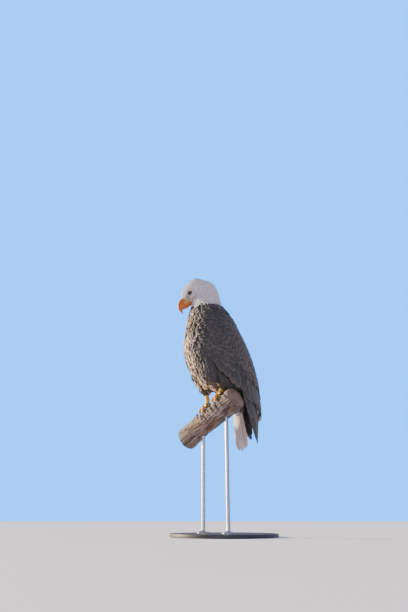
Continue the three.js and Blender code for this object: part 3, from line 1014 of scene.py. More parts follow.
def clear_of_bill(points):
    """True off the bill and off the gape's line."""
    head = to_head(points)
    gape = smooth_rows(np.array(GAPE_LINE), 40)
    clear = np.empty(len(points), bool)
    for i, point in enumerate(points):
        spot, normal, _, away = Bird.bill_tree.find_nearest(point)
        clear[i] = (Vector(point) - spot).dot(normal) > 0 and away > 0.0006
    mirrored = head * [1, 0, 1] + np.abs(head) * [0, 1, 0]
    for spot in gape:
        clear &= np.linalg.norm((mirrored - spot) * [1, 0.4, 1], axis=1) > 2.2
    return clear


# ---------------------------------------------------------------- operators: the bird


def store_solids():
    """Keep search trees of the flesh, each triangle with its solid's name, and of the bill."""
    zones = copy_of("zones", FLESH)
    Bird.zone_tree = tree_of(zones)
    bpy.data.objects.remove(zones)
    names = []
    for node in FLESH:
        part = copy_of("part", [node])
        part.data.calc_loop_triangles()
        names += [node] * len(part.data.loop_triangles)
        bpy.data.objects.remove(part)
    Bird.zone_of_face = np.array(names)
    bill = copy_of("bill", ["bill_upper", "bill_lower"])
    Bird.bill_tree = tree_of(bill)
    bpy.data.objects.remove(bill)


def store_fold():
    """Keep a search tree of the surface that the folded wings' feathers lie on."""
    rings = np.radians(np.arange(0, 360, 4))
    rows = smooth_rows(FOLD, 120)
    grid = np.stack([
        (rows[:, None, 2] + WING_PROUD) * np.sin(rings),
        rows[:, None, 1] - (rows[:, None, 3] + WING_PROUD) * np.cos(rings),
        rows[:, None, 0] + 0 * rings], -1)
    Bird.fold_tree = sheet_tree(np.array(BIRD_ORIGIN) + grid * MM, True)


def fullness(points):
    """Millimetres that the coat stands over the solids, most at the nape and shoulders."""
    head, bird = to_head(points), to_bird(points)
    nape = np.linalg.norm((head - np.array([-62, 0, 22])) / [44, 60, 34], axis=1)
    shoulder = ease(body_angle(points), 90, 130) * np.exp(-((bird[:, 2] - 352) / 27) ** 2)
    return 2.0 * ease(bird[:, 2], -40, 120) + 4.0 * np.exp(-nape ** 2) + 4.0 * shoulder


def brow_ridge(points):
    """Millimetres of the ridge over each eye."""
    head = to_head(points)
    away = (np.abs(head) - np.array([0, 31, 0])) * [0, 1, 0] + (head - [2, 0, 12]) * [1, 0, 1]
    return 4.4 * np.exp(-(np.linalg.norm(away / [16, 8, 4.2], axis=1)) ** 2)


def off_bill(points):
    """1 away from the bill, less round its root."""
    away = np.linalg.norm(to_head(points) - [40, 0, -8], axis=1)
    return 1 - 0.8 * ease(-away, -34, -22)


def thickness_of(piece):
    """Millimetres through the piece from each point."""
    tree = tree_of(piece)
    thickness = np.full(len(piece.data.vertices), float(MOST_THICKNESS))
    for i, (point, normal) in enumerate(zip(points_of(piece), normals_of(piece))):
        inward = -Vector(normal)
        start = Vector(point) + inward * 0.2 * MM
        away = tree.ray_cast(start, inward, MOST_THICKNESS * MM)[3]
        if away is not None:
            thickness[i] = away / MM
    return thickness


def foot_scales(points, on_foot):
    """Relief of the feet in millimetres.

    Scutes cross the toes' backs and the shank's front; small round scales lie between.
    """
    _, turn, off = to_perch(points)
    shank = ease(off, 17, 26)
    band = np.where(shank > 0.5, off / 4.2, turn * 52 / 3.6)
    top = np.where(shank > 0.5, 1.0, ease(off, 5, 9))
    ripple = np.abs(np.sin(band * math.pi)) ** 0.5
    relief = np.zeros(len(points))
    for i in np.flatnonzero(on_foot):
        cell = noise.voronoi(Vector(points[i]) / (2.3 * MM))[0]
        grain = min(cell[1] - cell[0], 0.5) * 2
        relief[i] = 0.55 * (top[i] * ripple[i] + (1 - top[i]) * grain) - 0.4
    return relief


def skin_material(colours):
    """Skin: marked like the coat over the body, bare at the lores, scaly on the feet."""
    g = Graph("skin", 0.55, Specular_IOR_Level=0.4)
    pale, foot, lore = g.values("zone")[:3]
    speck = g.noise(70, 4)
    dark = g.mix(speck, rgba(colours.brown, 0.6), rgba(colours.brown, 1.2))
    light = g.mix(speck, rgba(colours.white, 0.6), rgba(colours.white, 0.85))
    body = g.mix(pale, dark, light)
    bare = g.mix(g.rescale(g.noise(420, 4), 0.35, 0.65), rgba(colours.cere, 0.45),
                 (0.2, 0.15, 0.1, 1))
    body = g.mix(lore, body, bare)
    body = g.mix(g.stored("shadow"), body, (0.05, 0.036, 0.022, 1))
    toe = g.mix(g.rescale(g.stored("scale"), 0.0, 0.5), rgba(colours.foot, 0.35),
                rgba(colours.foot))
    toe = g.mix(g.rescale(g.noise(45, 4), 0.45, 0.75, 0.0, 0.5), toe, (0.42, 0.27, 0.1, 1))
    g.colour(g.mix(foot, body, toe))
    g.bump(g.noise(900, 2), 0.0004, 0.4)
    return g.material


class EAGLE_OT_skin(bpy.types.Operator):
    """Round the solids to one skin and sink it under the coat"""

    bl_idname = "eagle.skin"
    bl_label = "Skin"

    def execute(self, context):
        sizes = context.scene.eagle_sizes
        store_solids()
        form = rounded("form", FLESH, SKIN_VOXEL, 9)
        points, normals = points_of(form), normals_of(form)
        # where a wing's edge is thin the skin sinks less, so its two sides never cross
        depth = FACE_DEPTH + (sizes.coat_depth / MM - FACE_DEPTH) * face_share(points)
        depth = np.minimum(depth, THIN_SHARE * thickness_of(form))
        ridge = brow_ridge(points)
        coat = (fullness(points) + ridge) * off_bill(points)
        sunk = ridge * off_bill(points) - depth
        put_points(form, points + normals * (coat * MM)[:, None])
        Bird.form = form
        Bird.tree = tree_of(form)
        Bird.stream = Stream(form)
        store_fold()

        skin = form.copy()
        skin.data = form.data.copy()
        skin.name = skin.data.name = "skin"
        context.scene.collection.objects.link(skin)
        put_points(skin, points + normals * (sunk * MM)[:, None])
        apply_modifier(skin, "DECIMATE", ratio=SKIN_DETAIL, use_collapse_triangulate=True)
        # the feet keep a finer mesh; their shanks go up inside the feathered legs
        feet = rounded("feet", ["foot_left", "foot_right"], FOOT_VOXEL, 8)
        body_points = len(skin.data.vertices)
        deselect()
        feet.select_set(True)
        skin.select_set(True)
        context.view_layer.objects.active = skin
        bpy.ops.object.join()
        shade_smooth(skin)
        points, normals = points_of(skin), normals_of(skin)
        on_foot = (np.arange(len(points)) >= body_points).astype(float)
        values = np.ones((len(points), 4))
        values[:, 0] = np.maximum(
            ease(hood_edge(points), -5, 5), zones_of(points) == "tail_coverts")
        values[:, 1] = on_foot
        values[:, 2] = lore_share(points) * (1 - on_foot)
        value_attribute(skin, "shadow", 1 - ease(off_gaze(points), 10.5, 13.2))
        colour_attribute(skin, "zone", values)
        relief = foot_scales(points, on_foot)
        put_points(skin, points + normals * (relief * MM)[:, None])
        value_attribute(skin, "scale", relief + 0.4)
        finish_piece(skin, skin_material(context.scene.eagle_colours),
                     FLESH + ("foot_left", "foot_right"))
        return {"FINISHED"}


class EAGLE_OT_hood(bpy.types.Operator):
    """Lay the white feathers of the face, crown and neck"""

    bl_idname = "eagle.hood"
    bl_label = "Hood feathers"

    def execute(self, context):
        sizes = context.scene.eagle_sizes
        white = white_feathers(context)
        small = Pattern(2, ((0, 0.5), (0.4, 0.95), (0.8, 0.75), (1, 0.2)))
        crown = Pattern(2, ((0, 0.4), (0.25, 0.8), (0.5, 1), (0.75, 0.86), (0.92, 0.5), (1, 0.1)))
        hackle = Pattern(2, ((0, 0.35), (0.15, 0.7), (0.35, 0.96), (0.55, 1), (0.74, 0.82),
                             (0.9, 0.45), (1, 0.07)))
        rng = np.random.default_rng(3)

        def on_hood(points):
            bald = (rng.uniform(0.15, 0.9, len(points)) < lore_share(points)) \
                | (off_gaze(points) < BARE_EYE)
            return (hood_edge(points) > 0) & clear_of_bill(points) & ~bald

        spots = scatter(Bird.form, lambda p: 1.4 + 1.95 * face_share(p), on_hood, rng)
        share = face_share(spots)
        lengths = np.interp(share, (0, 0.3, 0.6, 1),
                            (4.4, 9, sizes.crown_feather / MM, sizes.hackle / MM))
        widths = np.interp(share, (0, 0.3, 0.6, 1), (1.7, 2.8, 4.0, 6.0))
        # none lies across an eye
        spot, normals, _ = nearest(Bird.tree, spots)
        way = Bird.stream(spot)
        way = unit(way - (way * normals).sum(1, keepdims=True) * normals)
        for reach in (1.0, 0.75, 0.5, 0.25):
            ends = off_gaze(spot + way * (lengths * reach * MM)[:, None])
            lengths = np.where(ends < CLEAR_EYE, lengths * reach * 0.8, lengths)
        fit = lengths > 2.2
        spots, share, lengths, widths = spots[fit], share[fit], lengths[fit], widths[fit]
        face = Coat("face_feathers", head_unwrap)
        nape = Coat("nape_feathers", head_unwrap)
        for coat, chosen, pattern, look in (
            (face, share < 0.22, small, {"root_depth": 0.7, "tip_lift": 0.5, "thick": 0.3}),
            (face, (share >= 0.22) & (share < 0.7), crown,
             {"root_depth": 1.4, "tip_lift": 0.9, "thick": 0.35}),
            (nape, share >= 0.7, hackle, {"root_depth": 3.0, "tip_lift": 1.6, "thick": 0.45}),
        ):
            coat.lay(pattern, Bird.tree, spots[chosen], Bird.stream, lengths[chosen],
                     widths[chosen], rng, jitter=0.1, roll=0.12, uneven=0.35, arch=0.2,
                     rim=0.5, spread=0.18, **look)
        # fine bristles over the bare skin before the eye
        lores = scatter(Bird.form, even(1.9), lambda p: (
            (lore_share(p) > 0.2) & clear_of_bill(p) & (off_gaze(p) > 11)), rng)
        face.lay(small, Bird.tree, lores, Bird.stream, 4.2, 0.75, rng, root_depth=0.5,
                 tip_lift=0.5, thick=0.25, jitter=0.25, arch=0.2, rim=0.4, spread=0.3)
        face.make(white)
        nape.make(white)
        return {"FINISHED"}


def white_feathers(context):
    """The head's and tail's feathers: white, each a little different, with faint shafts."""
    material = bpy.data.materials.get("white_feathers")
    if material:
        return material
    colours = context.scene.eagle_colours
    return feather_material("white_feathers", colours.white, colours.white_shade,
                            (0.93, 0.91, 0.88), 0.65)


def brown_feathers(context):
    """The body's feathers: near black with pale rims where they are stored, which down the
    breast's front are painted rim light.
    """
    material = bpy.data.materials.get("brown_feathers")
    if material:
        return material
    colours = context.scene.eagle_colours
    return feather_material("brown_feathers", colours.brown, [c * 0.5 for c in colours.brown],
                            colours.margin, 0.6)


CONTOUR = ((0, 0.35), (0.18, 0.7), (0.38, 0.95), (0.58, 1), (0.76, 0.84), (0.9, 0.52), (1, 0.1))
COVERT = ((0, 0.35), (0.2, 0.76), (0.42, 0.97), (0.62, 1), (0.8, 0.88), (0.93, 0.56), (1, 0.14))


def pale_rims_and_rim_light(points, rng):
    """Strength of the pale rims: a little everywhere for the feathers' real pale fringes, and
    strong in streaks down the front as painted rim light of a low warm sun.
    """
    bird, angle = to_bird(points), body_angle(points)
    wave = np.array([noise.noise(Vector((x * 0.065, 7, z * 0.014))) for x, _, z in bird])
    # the front's strong streaks are painted rim light on the feathers' edges
    front = 1 - ease(angle + rng.normal(0, 6, len(points)), 12, 38)
    wave += 0.14 * (1 - ease(angle, 8, 22)) + 0.06 * ease(-bird[:, 2], -260, -140)
    return 0.07 + front * 2.0 * ease(wave, 0.06, 0.2)


class EAGLE_OT_body(bpy.types.Operator):
    """Lay the feathers of the breast, belly, legs, back and vent"""

    bl_idname = "eagle.body"
    bl_label = "Body feathers"

    def execute(self, context):
        sizes = context.scene.eagle_sizes
        brown = brown_feathers(context)
        contour = Pattern(2, CONTOUR)
        covert = Pattern(4, COVERT)

        def on_body(points, low, high):
            zone = zones_of(points)
            angle = body_angle(points)
            return ((hood_edge(points) <= 0) & np.isin(zone, ("trunk", "neck", "head"))
                    & (angle >= low) & (angle < high))

        rng = np.random.default_rng(5)
        spots = scatter(Bird.form, even(8.4), lambda p: on_body(p, 0, 100), rng)
        coat = Coat("breast_feathers", body_unwrap)
        # the breast's rims: real pale fringes, and painted rim light down its front
        coat.lay(contour, Bird.tree, spots, body_flow, sizes.breast_feather / MM, 17, rng,
                 root_depth=4.2, tip_lift=2.4, thick=0.5, jitter=0.16, arch=0.2, roll=0.14,
                 uneven=0.7, spread=0.16, ragged=0.05, rim=pale_rims_and_rim_light(spots, rng))
        coat.make(brown)

        rng = np.random.default_rng(6)
        spots = scatter(Bird.form, even(6.6),
                        lambda p: np.char.startswith(zones_of(p), "thigh"), rng)
        coat = Coat("leg_feathers", body_unwrap)
        # the legs' rims: real pale fringes, and painted rim light down their front
        coat.lay(contour, Bird.tree, spots, leg_flow, sizes.thigh_feather / MM, 11.5, rng,
                 root_depth=3.2, tip_lift=1.2, thick=0.4, jitter=0.14, arch=0.2, roll=0.12,
                 spread=0.16, ragged=0.05, rim=pale_rims_and_rim_light(spots, rng))
        coat.make(brown)

        rng = np.random.default_rng(7)
        spots = scatter(Bird.form, even(10.6), lambda p: on_body(p, 100, 181), rng)
        coat = Coat("mantle_feathers", body_unwrap)
        coat.lay(covert, Bird.tree, spots, body_flow, sizes.mantle_feather / MM, 24, rng,
                 root_depth=3.8, tip_lift=1.2, thick=0.5, jitter=0.1, arch=0.16, ragged=0.04,
                 rim=0.1)
        coat.make(brown)

        rng = np.random.default_rng(8)
        spots = scatter(Bird.form, even(9), lambda p: zones_of(p) == "tail_coverts", rng)
        # the rump over the white coverts is brown
        _, behind, height = to_bird(spots).T
        rump = (behind > 86) & (height > -34)
        for name, chosen, material, rim in (
                ("rump_feathers", rump, brown, 0.1),
                ("tail_covert_feathers", ~rump, white_feathers(context), 0.4)):
            coat = Coat(name, body_unwrap)
            coat.lay(contour, Bird.tree, spots[chosen], body_flow, 56, 17, rng, root_depth=4,
                     tip_lift=3, thick=0.45, jitter=0.14, arch=0.2, roll=0.12, spread=0.2,
                     rim=rim)
            coat.make(material)
        return {"FINISHED"}


class EAGLE_OT_wings(bpy.types.Operator):
    """Lay the folded wings: coverts in rows, then secondaries and primaries"""

    bl_idname = "eagle.wings"
    bl_label = "Wings"

    def execute(self, context):
        colours = context.scene.eagle_colours
        brown = brown_feathers(context)
        dark = feather_material("flight_feathers", colours.flight,
                                [c * 0.5 for c in colours.flight], colours.margin, 0.5)
        covert = Pattern(4, COVERT)
        blade = Pattern(4, ((0, 0.4), (0.08, 0.7), (0.2, 0.94), (0.35, 1), (0.5, 1), (0.64, 1),
                            (0.76, 0.98), (0.86, 0.9), (0.93, 0.74), (0.975, 0.48), (1, 0.14)))
        sharp = Pattern(4, ((0, 0.5), (0.1, 0.8), (0.22, 1), (0.36, 1), (0.5, 1), (0.62, 0.97),
                            (0.73, 0.9), (0.83, 0.8), (0.91, 0.64), (0.97, 0.4), (1, 0.12)))
        for name, side in SIDES:
            flow = wing_flow(side)
            rng = np.random.default_rng(20 + side)

            def row(coat, pattern, number, above, length, width, first=50, **look):
                """A row of feathers, placed over the wing's edge as shares of its reach."""
                degrees = np.linspace(first, 176, number)
                reach = wing_reach(degrees)
                height = np.interp(degrees, WING_EDGE[:, 0], WING_EDGE[:, 1])
                edge = fold_point(height, degrees, WING_PROUD, side)
                ends = upstream(Bird.fold_tree, edge, flow, above * reach)
                roots = upstream(Bird.fold_tree, ends, flow, length * reach)
                look["stack"] = look.get("stack", 0) + 1.6 * np.linspace(0, 1, number)
                coat.lay(pattern, Bird.fold_tree, roots, flow, length * reach,
                         width * (0.55 + 0.45 * reach / 165), rng, **look)

            def on_arm(points, zone="wing_" + name):
                return (zones_of(points) == zone) & (over_edge(points) > 0.95)

            def low_down(points):
                return 1 - ease(over_edge(points), 0.9, 2.4)

            spots = scatter(Bird.form, lambda p: 7.6 + 4.2 * low_down(p), on_arm, rng)
            height, degrees = fold_place(spots)
            grow = 0.62 + 0.3 * low_down(spots) + 0.3 * ease(degrees, 105, 150)
            grow = grow * (1 - 0.3 * ease(-degrees, -75, -50))
            coat = Coat("wing_coverts_" + name, body_unwrap)
            coat.lay(covert, Bird.fold_tree, spots, flow, 46 * grow, 25 * grow, rng,
                     root_depth=3.4, tip_lift=1.0, thick=0.5, jitter=0.08, arch=0.14,
                     uneven=0.4, rim=0.11, stack=0.6)
            row(coat, covert, 20, 0.92, 0.34, 27, jitter=0.03, root_depth=3, tip_lift=0.6,
                stack=0.4, arch=0.12, rim=0.1)
            row(coat, covert, 20, 0.71, 0.38, 29, jitter=0.03, root_depth=3, tip_lift=0.6,
                stack=-0.2, arch=0.1, rim=0.09)
            row(coat, covert, 19, 0.48, 0.48, 31, jitter=0.025, root_depth=3, tip_lift=0.6,
                stack=-0.8, arch=0.1, rim=0.08)
            coat.make(brown)

            coat = Coat("flight_feathers_" + name, body_unwrap)
            row(coat, blade, 19, 0, 1.0, 35, first=54, jitter=0.012, root_depth=4,
                tip_lift=0.5, stack=-2.2, arch=0.08, ragged=0.012, uneven=0.1, rim=0.08)
            heights, degrees, order = PRIMARY_TIPS.T
            ends = fold_point(PRIMARY_REACH[name] * heights, degrees, -1.5, side)
            top = fold_point(np.array(60.0), np.array(110.0), -6, side)
            lengths = np.linalg.norm(ends - top, axis=1) / MM - 10
            out = unit(ends - top)
            roots = ends - out * (lengths * MM)[:, None]
            coat.lay(sharp, Bird.fold_tree, roots, towards(ends + out), lengths, 31, rng,
                     root_depth=5, tip_lift=-0.5, thick=0.6, jitter=0.002, arch=0.06,
                     ragged=0.01, stack=-5.5 + 0.6 * order, uneven=0.05, spread=0.004,
                     rim=0.06)
            coat.make(dark, ["primaries_" + name])
        return {"FINISHED"}


class EAGLE_OT_tail(bpy.types.Operator):
    """Lay the tail's twelve long feathers, half spread"""

    bl_idname = "eagle.tail"
    bl_label = "Tail"

    def execute(self, context):
        colours = context.scene.eagle_colours
        # the tail's white is dimmed and its stain deepened as painted shade
        material = feather_material("tail_feathers", [c * 0.92 for c in colours.white],
                                    colours.tail_stain_and_shade, (0.9, 0.86, 0.8), 0.6)
        blade = Pattern(4, ((0, 0.45), (0.08, 0.62), (0.2, 0.78), (0.35, 0.9), (0.5, 0.97),
                            (0.64, 1), (0.76, 0.98), (0.86, 0.9), (0.93, 0.72), (0.975, 0.44),
                            (1, 0.1)))
        across, share = np.meshgrid(np.linspace(-1.7, 1.7, 35), np.linspace(-0.1, 1.2, 50))
        sheet = sheet_tree(tail_point(across, share), False)
        rng = np.random.default_rng(31)
        number = 12
        order = np.linspace(-1, 1, number)
        ends = order + rng.normal(0, 0.05, number)
        tip_share = 0.985 - 0.05 * ends ** 2 + rng.normal(0, 0.018, number)
        tips = tail_point(0.83 * ends, tip_share)
        roots = tail_point(0.45 * order, np.full(number, 0.03))
        lengths = np.linalg.norm(tips - roots, axis=1) / MM
        coat = Coat("tail_feathers", body_unwrap)
        coat.lay(blade, sheet, roots, towards(tips + (tips - roots)), lengths, 24, rng,
                 root_depth=0, tip_lift=0, thick=0.7, jitter=0.004, arch=0.1, ragged=0.03,
                 stack=2.6 - 5.2 * np.abs(order), uneven=0.3, spread=0.005, rim=0.45,
                 roll=0.2)
        coat.make(material, ["tail"])
        return {"FINISHED"}


def eye_material(colours):
    """Streaked iris with a dark rim round a black pupil, under a clear coat."""
    g = Graph("eye", 0.1, Coat_Weight=0.7, Coat_Roughness=0.02, Specular_IOR_Level=0.1)
    turn = g.stored("gaze")
    streaks = g.noise(1600, 4)
    iris = g.mix(g.rescale(streaks, 0.35, 0.65), rgba(colours.iris, 0.55), rgba(colours.iris))
    body = g.mix(g.rescale(turn, 0.33, 0.42), iris, (0.02, 0.014, 0.01, 1))
    pupil = g.rescale(turn, 0.235, 0.255, 1.0, 0.0)
    g.colour(g.mix(pupil, body, (0.002, 0.002, 0.002, 1)))
    return g.material


def lid_material():
    g = Graph("eyelid", 0.45, Specular_IOR_Level=0.45)
    # the lids' near-black is partly their real dark skin and partly painted shade of the brow
    # round the eye
    g.colour(g.mix(g.noise(350, 3), (0.03, 0.022, 0.015, 1), (0.11, 0.078, 0.045, 1)))
    g.bump(g.noise(1500, 2), 0.0003, 0.6)
    return g.material


def make_eyeball(name, centre, look, material):
    """A ball that bulges where it looks."""
    deselect()
    bpy.ops.mesh.primitive_uv_sphere_add(segments=64, ring_count=48, radius=1)
    ball = bpy.context.object
    ball.name = ball.data.name = "eyeball_" + name
    points = unit(points_of(ball))
    turned = np.degrees(np.arccos(np.clip(points @ look, -1, 1)))
    bulge = 0.9 * np.maximum(1 - (turned / 40) ** 2, 0)
    put_points(ball, centre + points * ((EYE_RADIUS + bulge) * MM)[:, None])
    shade_smooth(ball)
    value_attribute(ball, "gaze", turned / 90)
    finish_piece(ball, material, ["eye_" + name])


def make_eyelid(name, centre, look, material):
    """A rolled lid round the eye, which the brow hangs over and slopes down to the bill."""
    ahead = unit(np.array(HEAD_FRONT) - look * (np.array(HEAD_FRONT) @ look))
    above = np.cross(look, ahead)
    above = above if above @ np.array(HEAD_UP) > 0 else -above
    deselect()
    bpy.ops.mesh.primitive_torus_add(
        major_segments=72, minor_segments=14, major_radius=1, minor_radius=0.25)
    lid = bpy.context.object
    lid.name = lid.data.name = "eyelid_" + name
    points = points_of(lid)
    around = np.arctan2(points[:, 1], points[:, 0])
    ring = np.arctan2(points[:, 2], np.hypot(points[:, 0], points[:, 1]) - 1)
    up = np.sin(around)
    brow = np.maximum(np.sin(around + math.radians(22)), 0)
    opening = 45 - 29 * brow ** 1.2 - 4 * np.maximum(-up, 0)
    opening = opening + 6 * np.maximum(np.cos(around), 0) ** 6
    polar = np.radians(opening + (12 + 13 * brow) * (1 + np.cos(ring)))
    out = EYE_RADIUS + 0.7 + 2.0 * brow ** 2 + (1.4 + 1.2 * brow) * np.sin(ring)
    spoke = np.cos(around)[:, None] * ahead + up[:, None] * above
    place = np.cos(polar)[:, None] * look + np.sin(polar)[:, None] * spoke
    put_points(lid, centre + place * (out * MM)[:, None])
    close_up(lid)
    shade_smooth(lid)
    finish_piece(lid, material)


class EAGLE_OT_eyes(bpy.types.Operator):
    """Set the eyes, each with its iris, pupil and rolled lids"""

    bl_idname = "eagle.eyes"
    bl_label = "Eyes"

    def execute(self, context):
        ball = eye_material(context.scene.eagle_colours)
        lid = lid_material()
        for name, side in SIDES:
            centre = np.array(EYE_LEFT if side > 0 else EYE_RIGHT)
            make_eyeball(name, centre, gaze(side), ball)
            make_eyelid(name, centre, gaze(side), lid)
        return {"FINISHED"}


def bill_profile(spokes, upper):
    """A mandible's outline: the share of its height and of its half-width, round its ring.

    The upper one has a narrow ridge and upright cutting edges; the lower is a scoop.
    """
    half = (
        ((1, 0), (0.99, 0.22), (0.95, 0.42), (0.87, 0.6), (0.75, 0.76), (0.6, 0.88), (0.44, 0.95),
         (0.28, 0.99), (0.14, 1), (0.05, 0.98), (0, 0.93), (0.01, 0.86), (0.06, 0.76),
         (0.11, 0.55), (0.13, 0.28), (0.13, 0))
        if upper else
        ((0, 0), (0.015, 0.2), (0.06, 0.42), (0.15, 0.62), (0.28, 0.78), (0.44, 0.89),
         (0.62, 0.96), (0.8, 1), (0.94, 0.99), (1, 0.93), (0.98, 0.84), (0.9, 0.7),
         (0.82, 0.4), (0.8, 0)))
    share, wide = smooth_rows(half, spokes // 2 + 1).T
    return (np.concatenate([share, share[-2:0:-1]]), np.concatenate([wide, -wide[-2:0:-1]]))


def bill_rings(sections, upper):
    """Rings of points along a mandible, in the head's frame, drawn in to a point at each end."""
    count, spokes = (160, 120) if upper else (80, 64)
    rows = smooth_rows(sections, count)
    share_at, wide_at = bill_profile(spokes, upper)
    progress = np.linspace(0, 1, count)
    size = np.sqrt(np.clip(1 - np.clip((progress - 0.97) / 0.03, 0, 1) ** 2, 0, 1))
    size[0] = 0
    middle = rows[:, :2] * 0.5 + rows[:, 2:4] * 0.5
    across = np.stack([rows[:, 0] - rows[:, 2], rows[:, 1] - rows[:, 3]], 1)
    spots = middle[:, None] + across[:, None] * (
        (share_at - 0.5)[None, :, None] * size[:, None, None])
    wide = rows[:, 4:5] * wide_at[None] * size[:, None]
    return np.stack([spots[..., 0], wide, spots[..., 1]], -1)


def bill_material(colours):
    """Horn with growth lines, deeper at the hook, the softer cere, and the nostril darkened as
    painted shade.
    """
    g = Graph("bill", 0.36, Coat_Weight=0.1, Coat_Roughness=0.2, Specular_IOR_Level=0.35)
    cere, tip, hollow = g.values("horn")[:3]
    lines = g.noise(1.0, 4, g.stored("grow", "Vector"), 0.65)
    horn = g.mix(g.rescale(lines, 0.3, 0.7), rgba(colours.bill, 0.72), rgba(colours.bill, 1.1))
    horn = g.mix(tip, horn, rgba(colours.bill_tip))
    bare = g.mix(g.noise(160, 4), rgba(colours.cere, 0.75), rgba(colours.cere, 1.05))
    body = g.mix(cere, horn, bare)
    # the nostril's hollow is painted dark as shade inside it
    g.colour(g.mix(hollow, body, (0.05, 0.025, 0.01, 1)))
    g.rough(g.rescale(g.noise(220, 3), 0.3, 0.7, 0.3, 0.5))
    g.bump(lines, 0.0006, 0.5)
    g.bump(g.noise(420, 3), 0.0003, 0.35)
    return g.material


def shape_cere(piece, upper):
    """Swells the cere, sinks the nostril and stores where they are and how the horn grows."""
    points, normals = points_of(piece), normals_of(piece)
    head = to_head(points)
    x, z = head[:, 0], head[:, 2]
    cere_line = 47 - 0.14 * (z + 20) + 0.02 * (z - 2) ** 2 * (z > 2)
    on_cere = (1 - ease(x - cere_line, -1.0, 0.5)) * upper
    swell = 0.55 * on_cere * ease(x - cere_line, -10, -2)
    # the nostril slants up and forward in the cere
    slant = math.radians(40)
    along = (x - 41) * math.cos(slant) + (z - 0.5) * math.sin(slant)
    over = -(x - 41) * math.sin(slant) + (z - 0.5) * math.cos(slant)
    hole = np.exp(-((along / 3.4) ** 2 + (over / 1.5) ** 2) ** 1.6) * upper
    put_points(piece, points + normals * ((swell - 2.4 * hole) * MM)[:, None])
    shade_smooth(piece)
    opaque = np.ones(len(points))
    cere = on_cere if upper else 1 - ease(x, 24, 30)
    hook = ease(x - 0.25 * z, 56, 88) * upper
    # the third value marks the nostril, painted dark as shade inside it
    colour_attribute(piece, "horn", np.stack(
        [cere, hook, np.clip(hole * 1.5, 0, 1), opaque], 1))
    # growth lines run round from the root to the hook
    colour_attribute(piece, "grow", np.stack(
        [np.hypot(x - 36, z + 44) * 0.5, np.arctan2(z + 44, x - 36) * 1.2,
         head[:, 1] * 0.4, opaque], 1))


def gape_rings(side):
    """Rings round the fleshy line from the bill's corner back to under the eye."""
    path = smooth_rows(np.array(GAPE_LINE, float) * [1, side, 1], 26)
    spots, normals, _ = nearest(Bird.tree, from_head(path))
    sunk = 0.3 - 1.1 * np.linspace(0, 1, len(spots)) ** 2
    spots = spots + normals * (sunk * MM)[:, None]
    world = np.where((path[:, 0] < 34)[:, None], spots, from_head(path))
    for _ in range(4):
        world[1:-1] = (world[:-2] + 2 * world[1:-1] + world[2:]) / 4
    ring = np.linspace(0, 2 * math.pi, 15)[:-1]
    run = unit(np.gradient(world, axis=0))
    out = unit(normals - (normals * run).sum(1, keepdims=True) * run)
    over = np.cross(run, out)
    share = np.linspace(0, 1, len(world))
    wide = 1.3 * np.interp(share, (0, 0.25, 0.6, 1), (0.3, 0.9, 0.95, 0.2))
    wide = wide * np.sqrt(np.clip(1 - (2 * share - 1) ** 12, 0.02, 1))
    return world[:, None] + MM * wide[:, None, None] * (
        np.cos(ring)[None, :, None] * out[:, None] * 0.8
        + np.sin(ring)[None, :, None] * over[:, None] * 1.3)


def make_gape(colours):
    """Both sides of the gape as one piece."""
    sides = [tube("gape_" + name, gape_rings(side), GAPE_MERGE) for name, side in SIDES]
    deselect()
    for part in sides:
        part.select_set(True)
    gape = sides[0]
    bpy.context.view_layer.objects.active = gape
    bpy.ops.object.join()
    gape.name = gape.data.name = "gape"
    shade_smooth(gape)
    g = Graph("gape", 0.4)
    g.colour(g.mix(g.noise(200, 3), rgba(colours.cere, 0.7), rgba(colours.cere)))
    g.bump(g.noise(700, 2), 0.0003, 0.5)
    finish_piece(gape, g.material)


class EAGLE_OT_bill(bpy.types.Operator):
    """Shape the bill, its cere, nostrils and gape"""

    bl_idname = "eagle.bill"
    bl_label = "Bill"

    def execute(self, context):
        colours = context.scene.eagle_colours
        material = bill_material(colours)
        for node, sections, upper in (
            ("bill_upper", UPPER_BILL, True), ("bill_lower", LOWER_BILL, False),
        ):
            piece = tube(node + "_horn", from_head(bill_rings(sections, upper)))
            shape_cere(piece, upper)
            finish_piece(piece, material, [node])
        make_gape(colours)
        return {"FINISHED"}


class EAGLE_OT_talons(bpy.types.Operator):
    """Round and polish the eight talons"""

    bl_idname = "eagle.talons"
    bl_label = "Talons"

    def execute(self, context):
        g = Graph("talon", 0.36, Specular_IOR_Level=0.35)
        body = g.mix(g.rescale(g.noise(90, 4, g.place((1, 1, 0.4))), 0.4, 0.7),
                     (0.012, 0.01, 0.009, 1), (0.05, 0.037, 0.027, 1))
        g.colour(body)
        g.rough(g.rescale(g.noise(160, 3), 0.3, 0.7, 0.3, 0.5))
        g.bump(g.noise(520, 3), 0.0003, 0.4)
        nodes = [f"talon_{name}_{toe}" for name, _ in SIDES for toe in TOES]
        talons = rounded("talons", nodes, TALON_VOXEL, 6)
        shade_smooth(talons)
        finish_piece(talons, g.material, nodes)
        return {"FINISHED"}


# ---------------------------------------------------------------- operators: perch, stand, stage


PERCH_TURNED = Matrix.Rotation(PERCH_TURN, 3, "Z") @ Matrix.Rotation(-PERCH_SLOPE, 3, "Y")


def to_perch(points):
    """Along the branch and off its bark in millimetres, and the turn round it in radians."""
    local = (to_bird(points) + np.array([0, 0, PERCH_DROP])) @ np.array(PERCH_TURNED)
    along = local[:, 0]
    depth = local[:, 2] + (along / 90) ** 2 + PERCH_RADIUS
    return along, np.arctan2(local[:, 1], depth), np.hypot(local[:, 1], depth) - PERCH_RADIUS


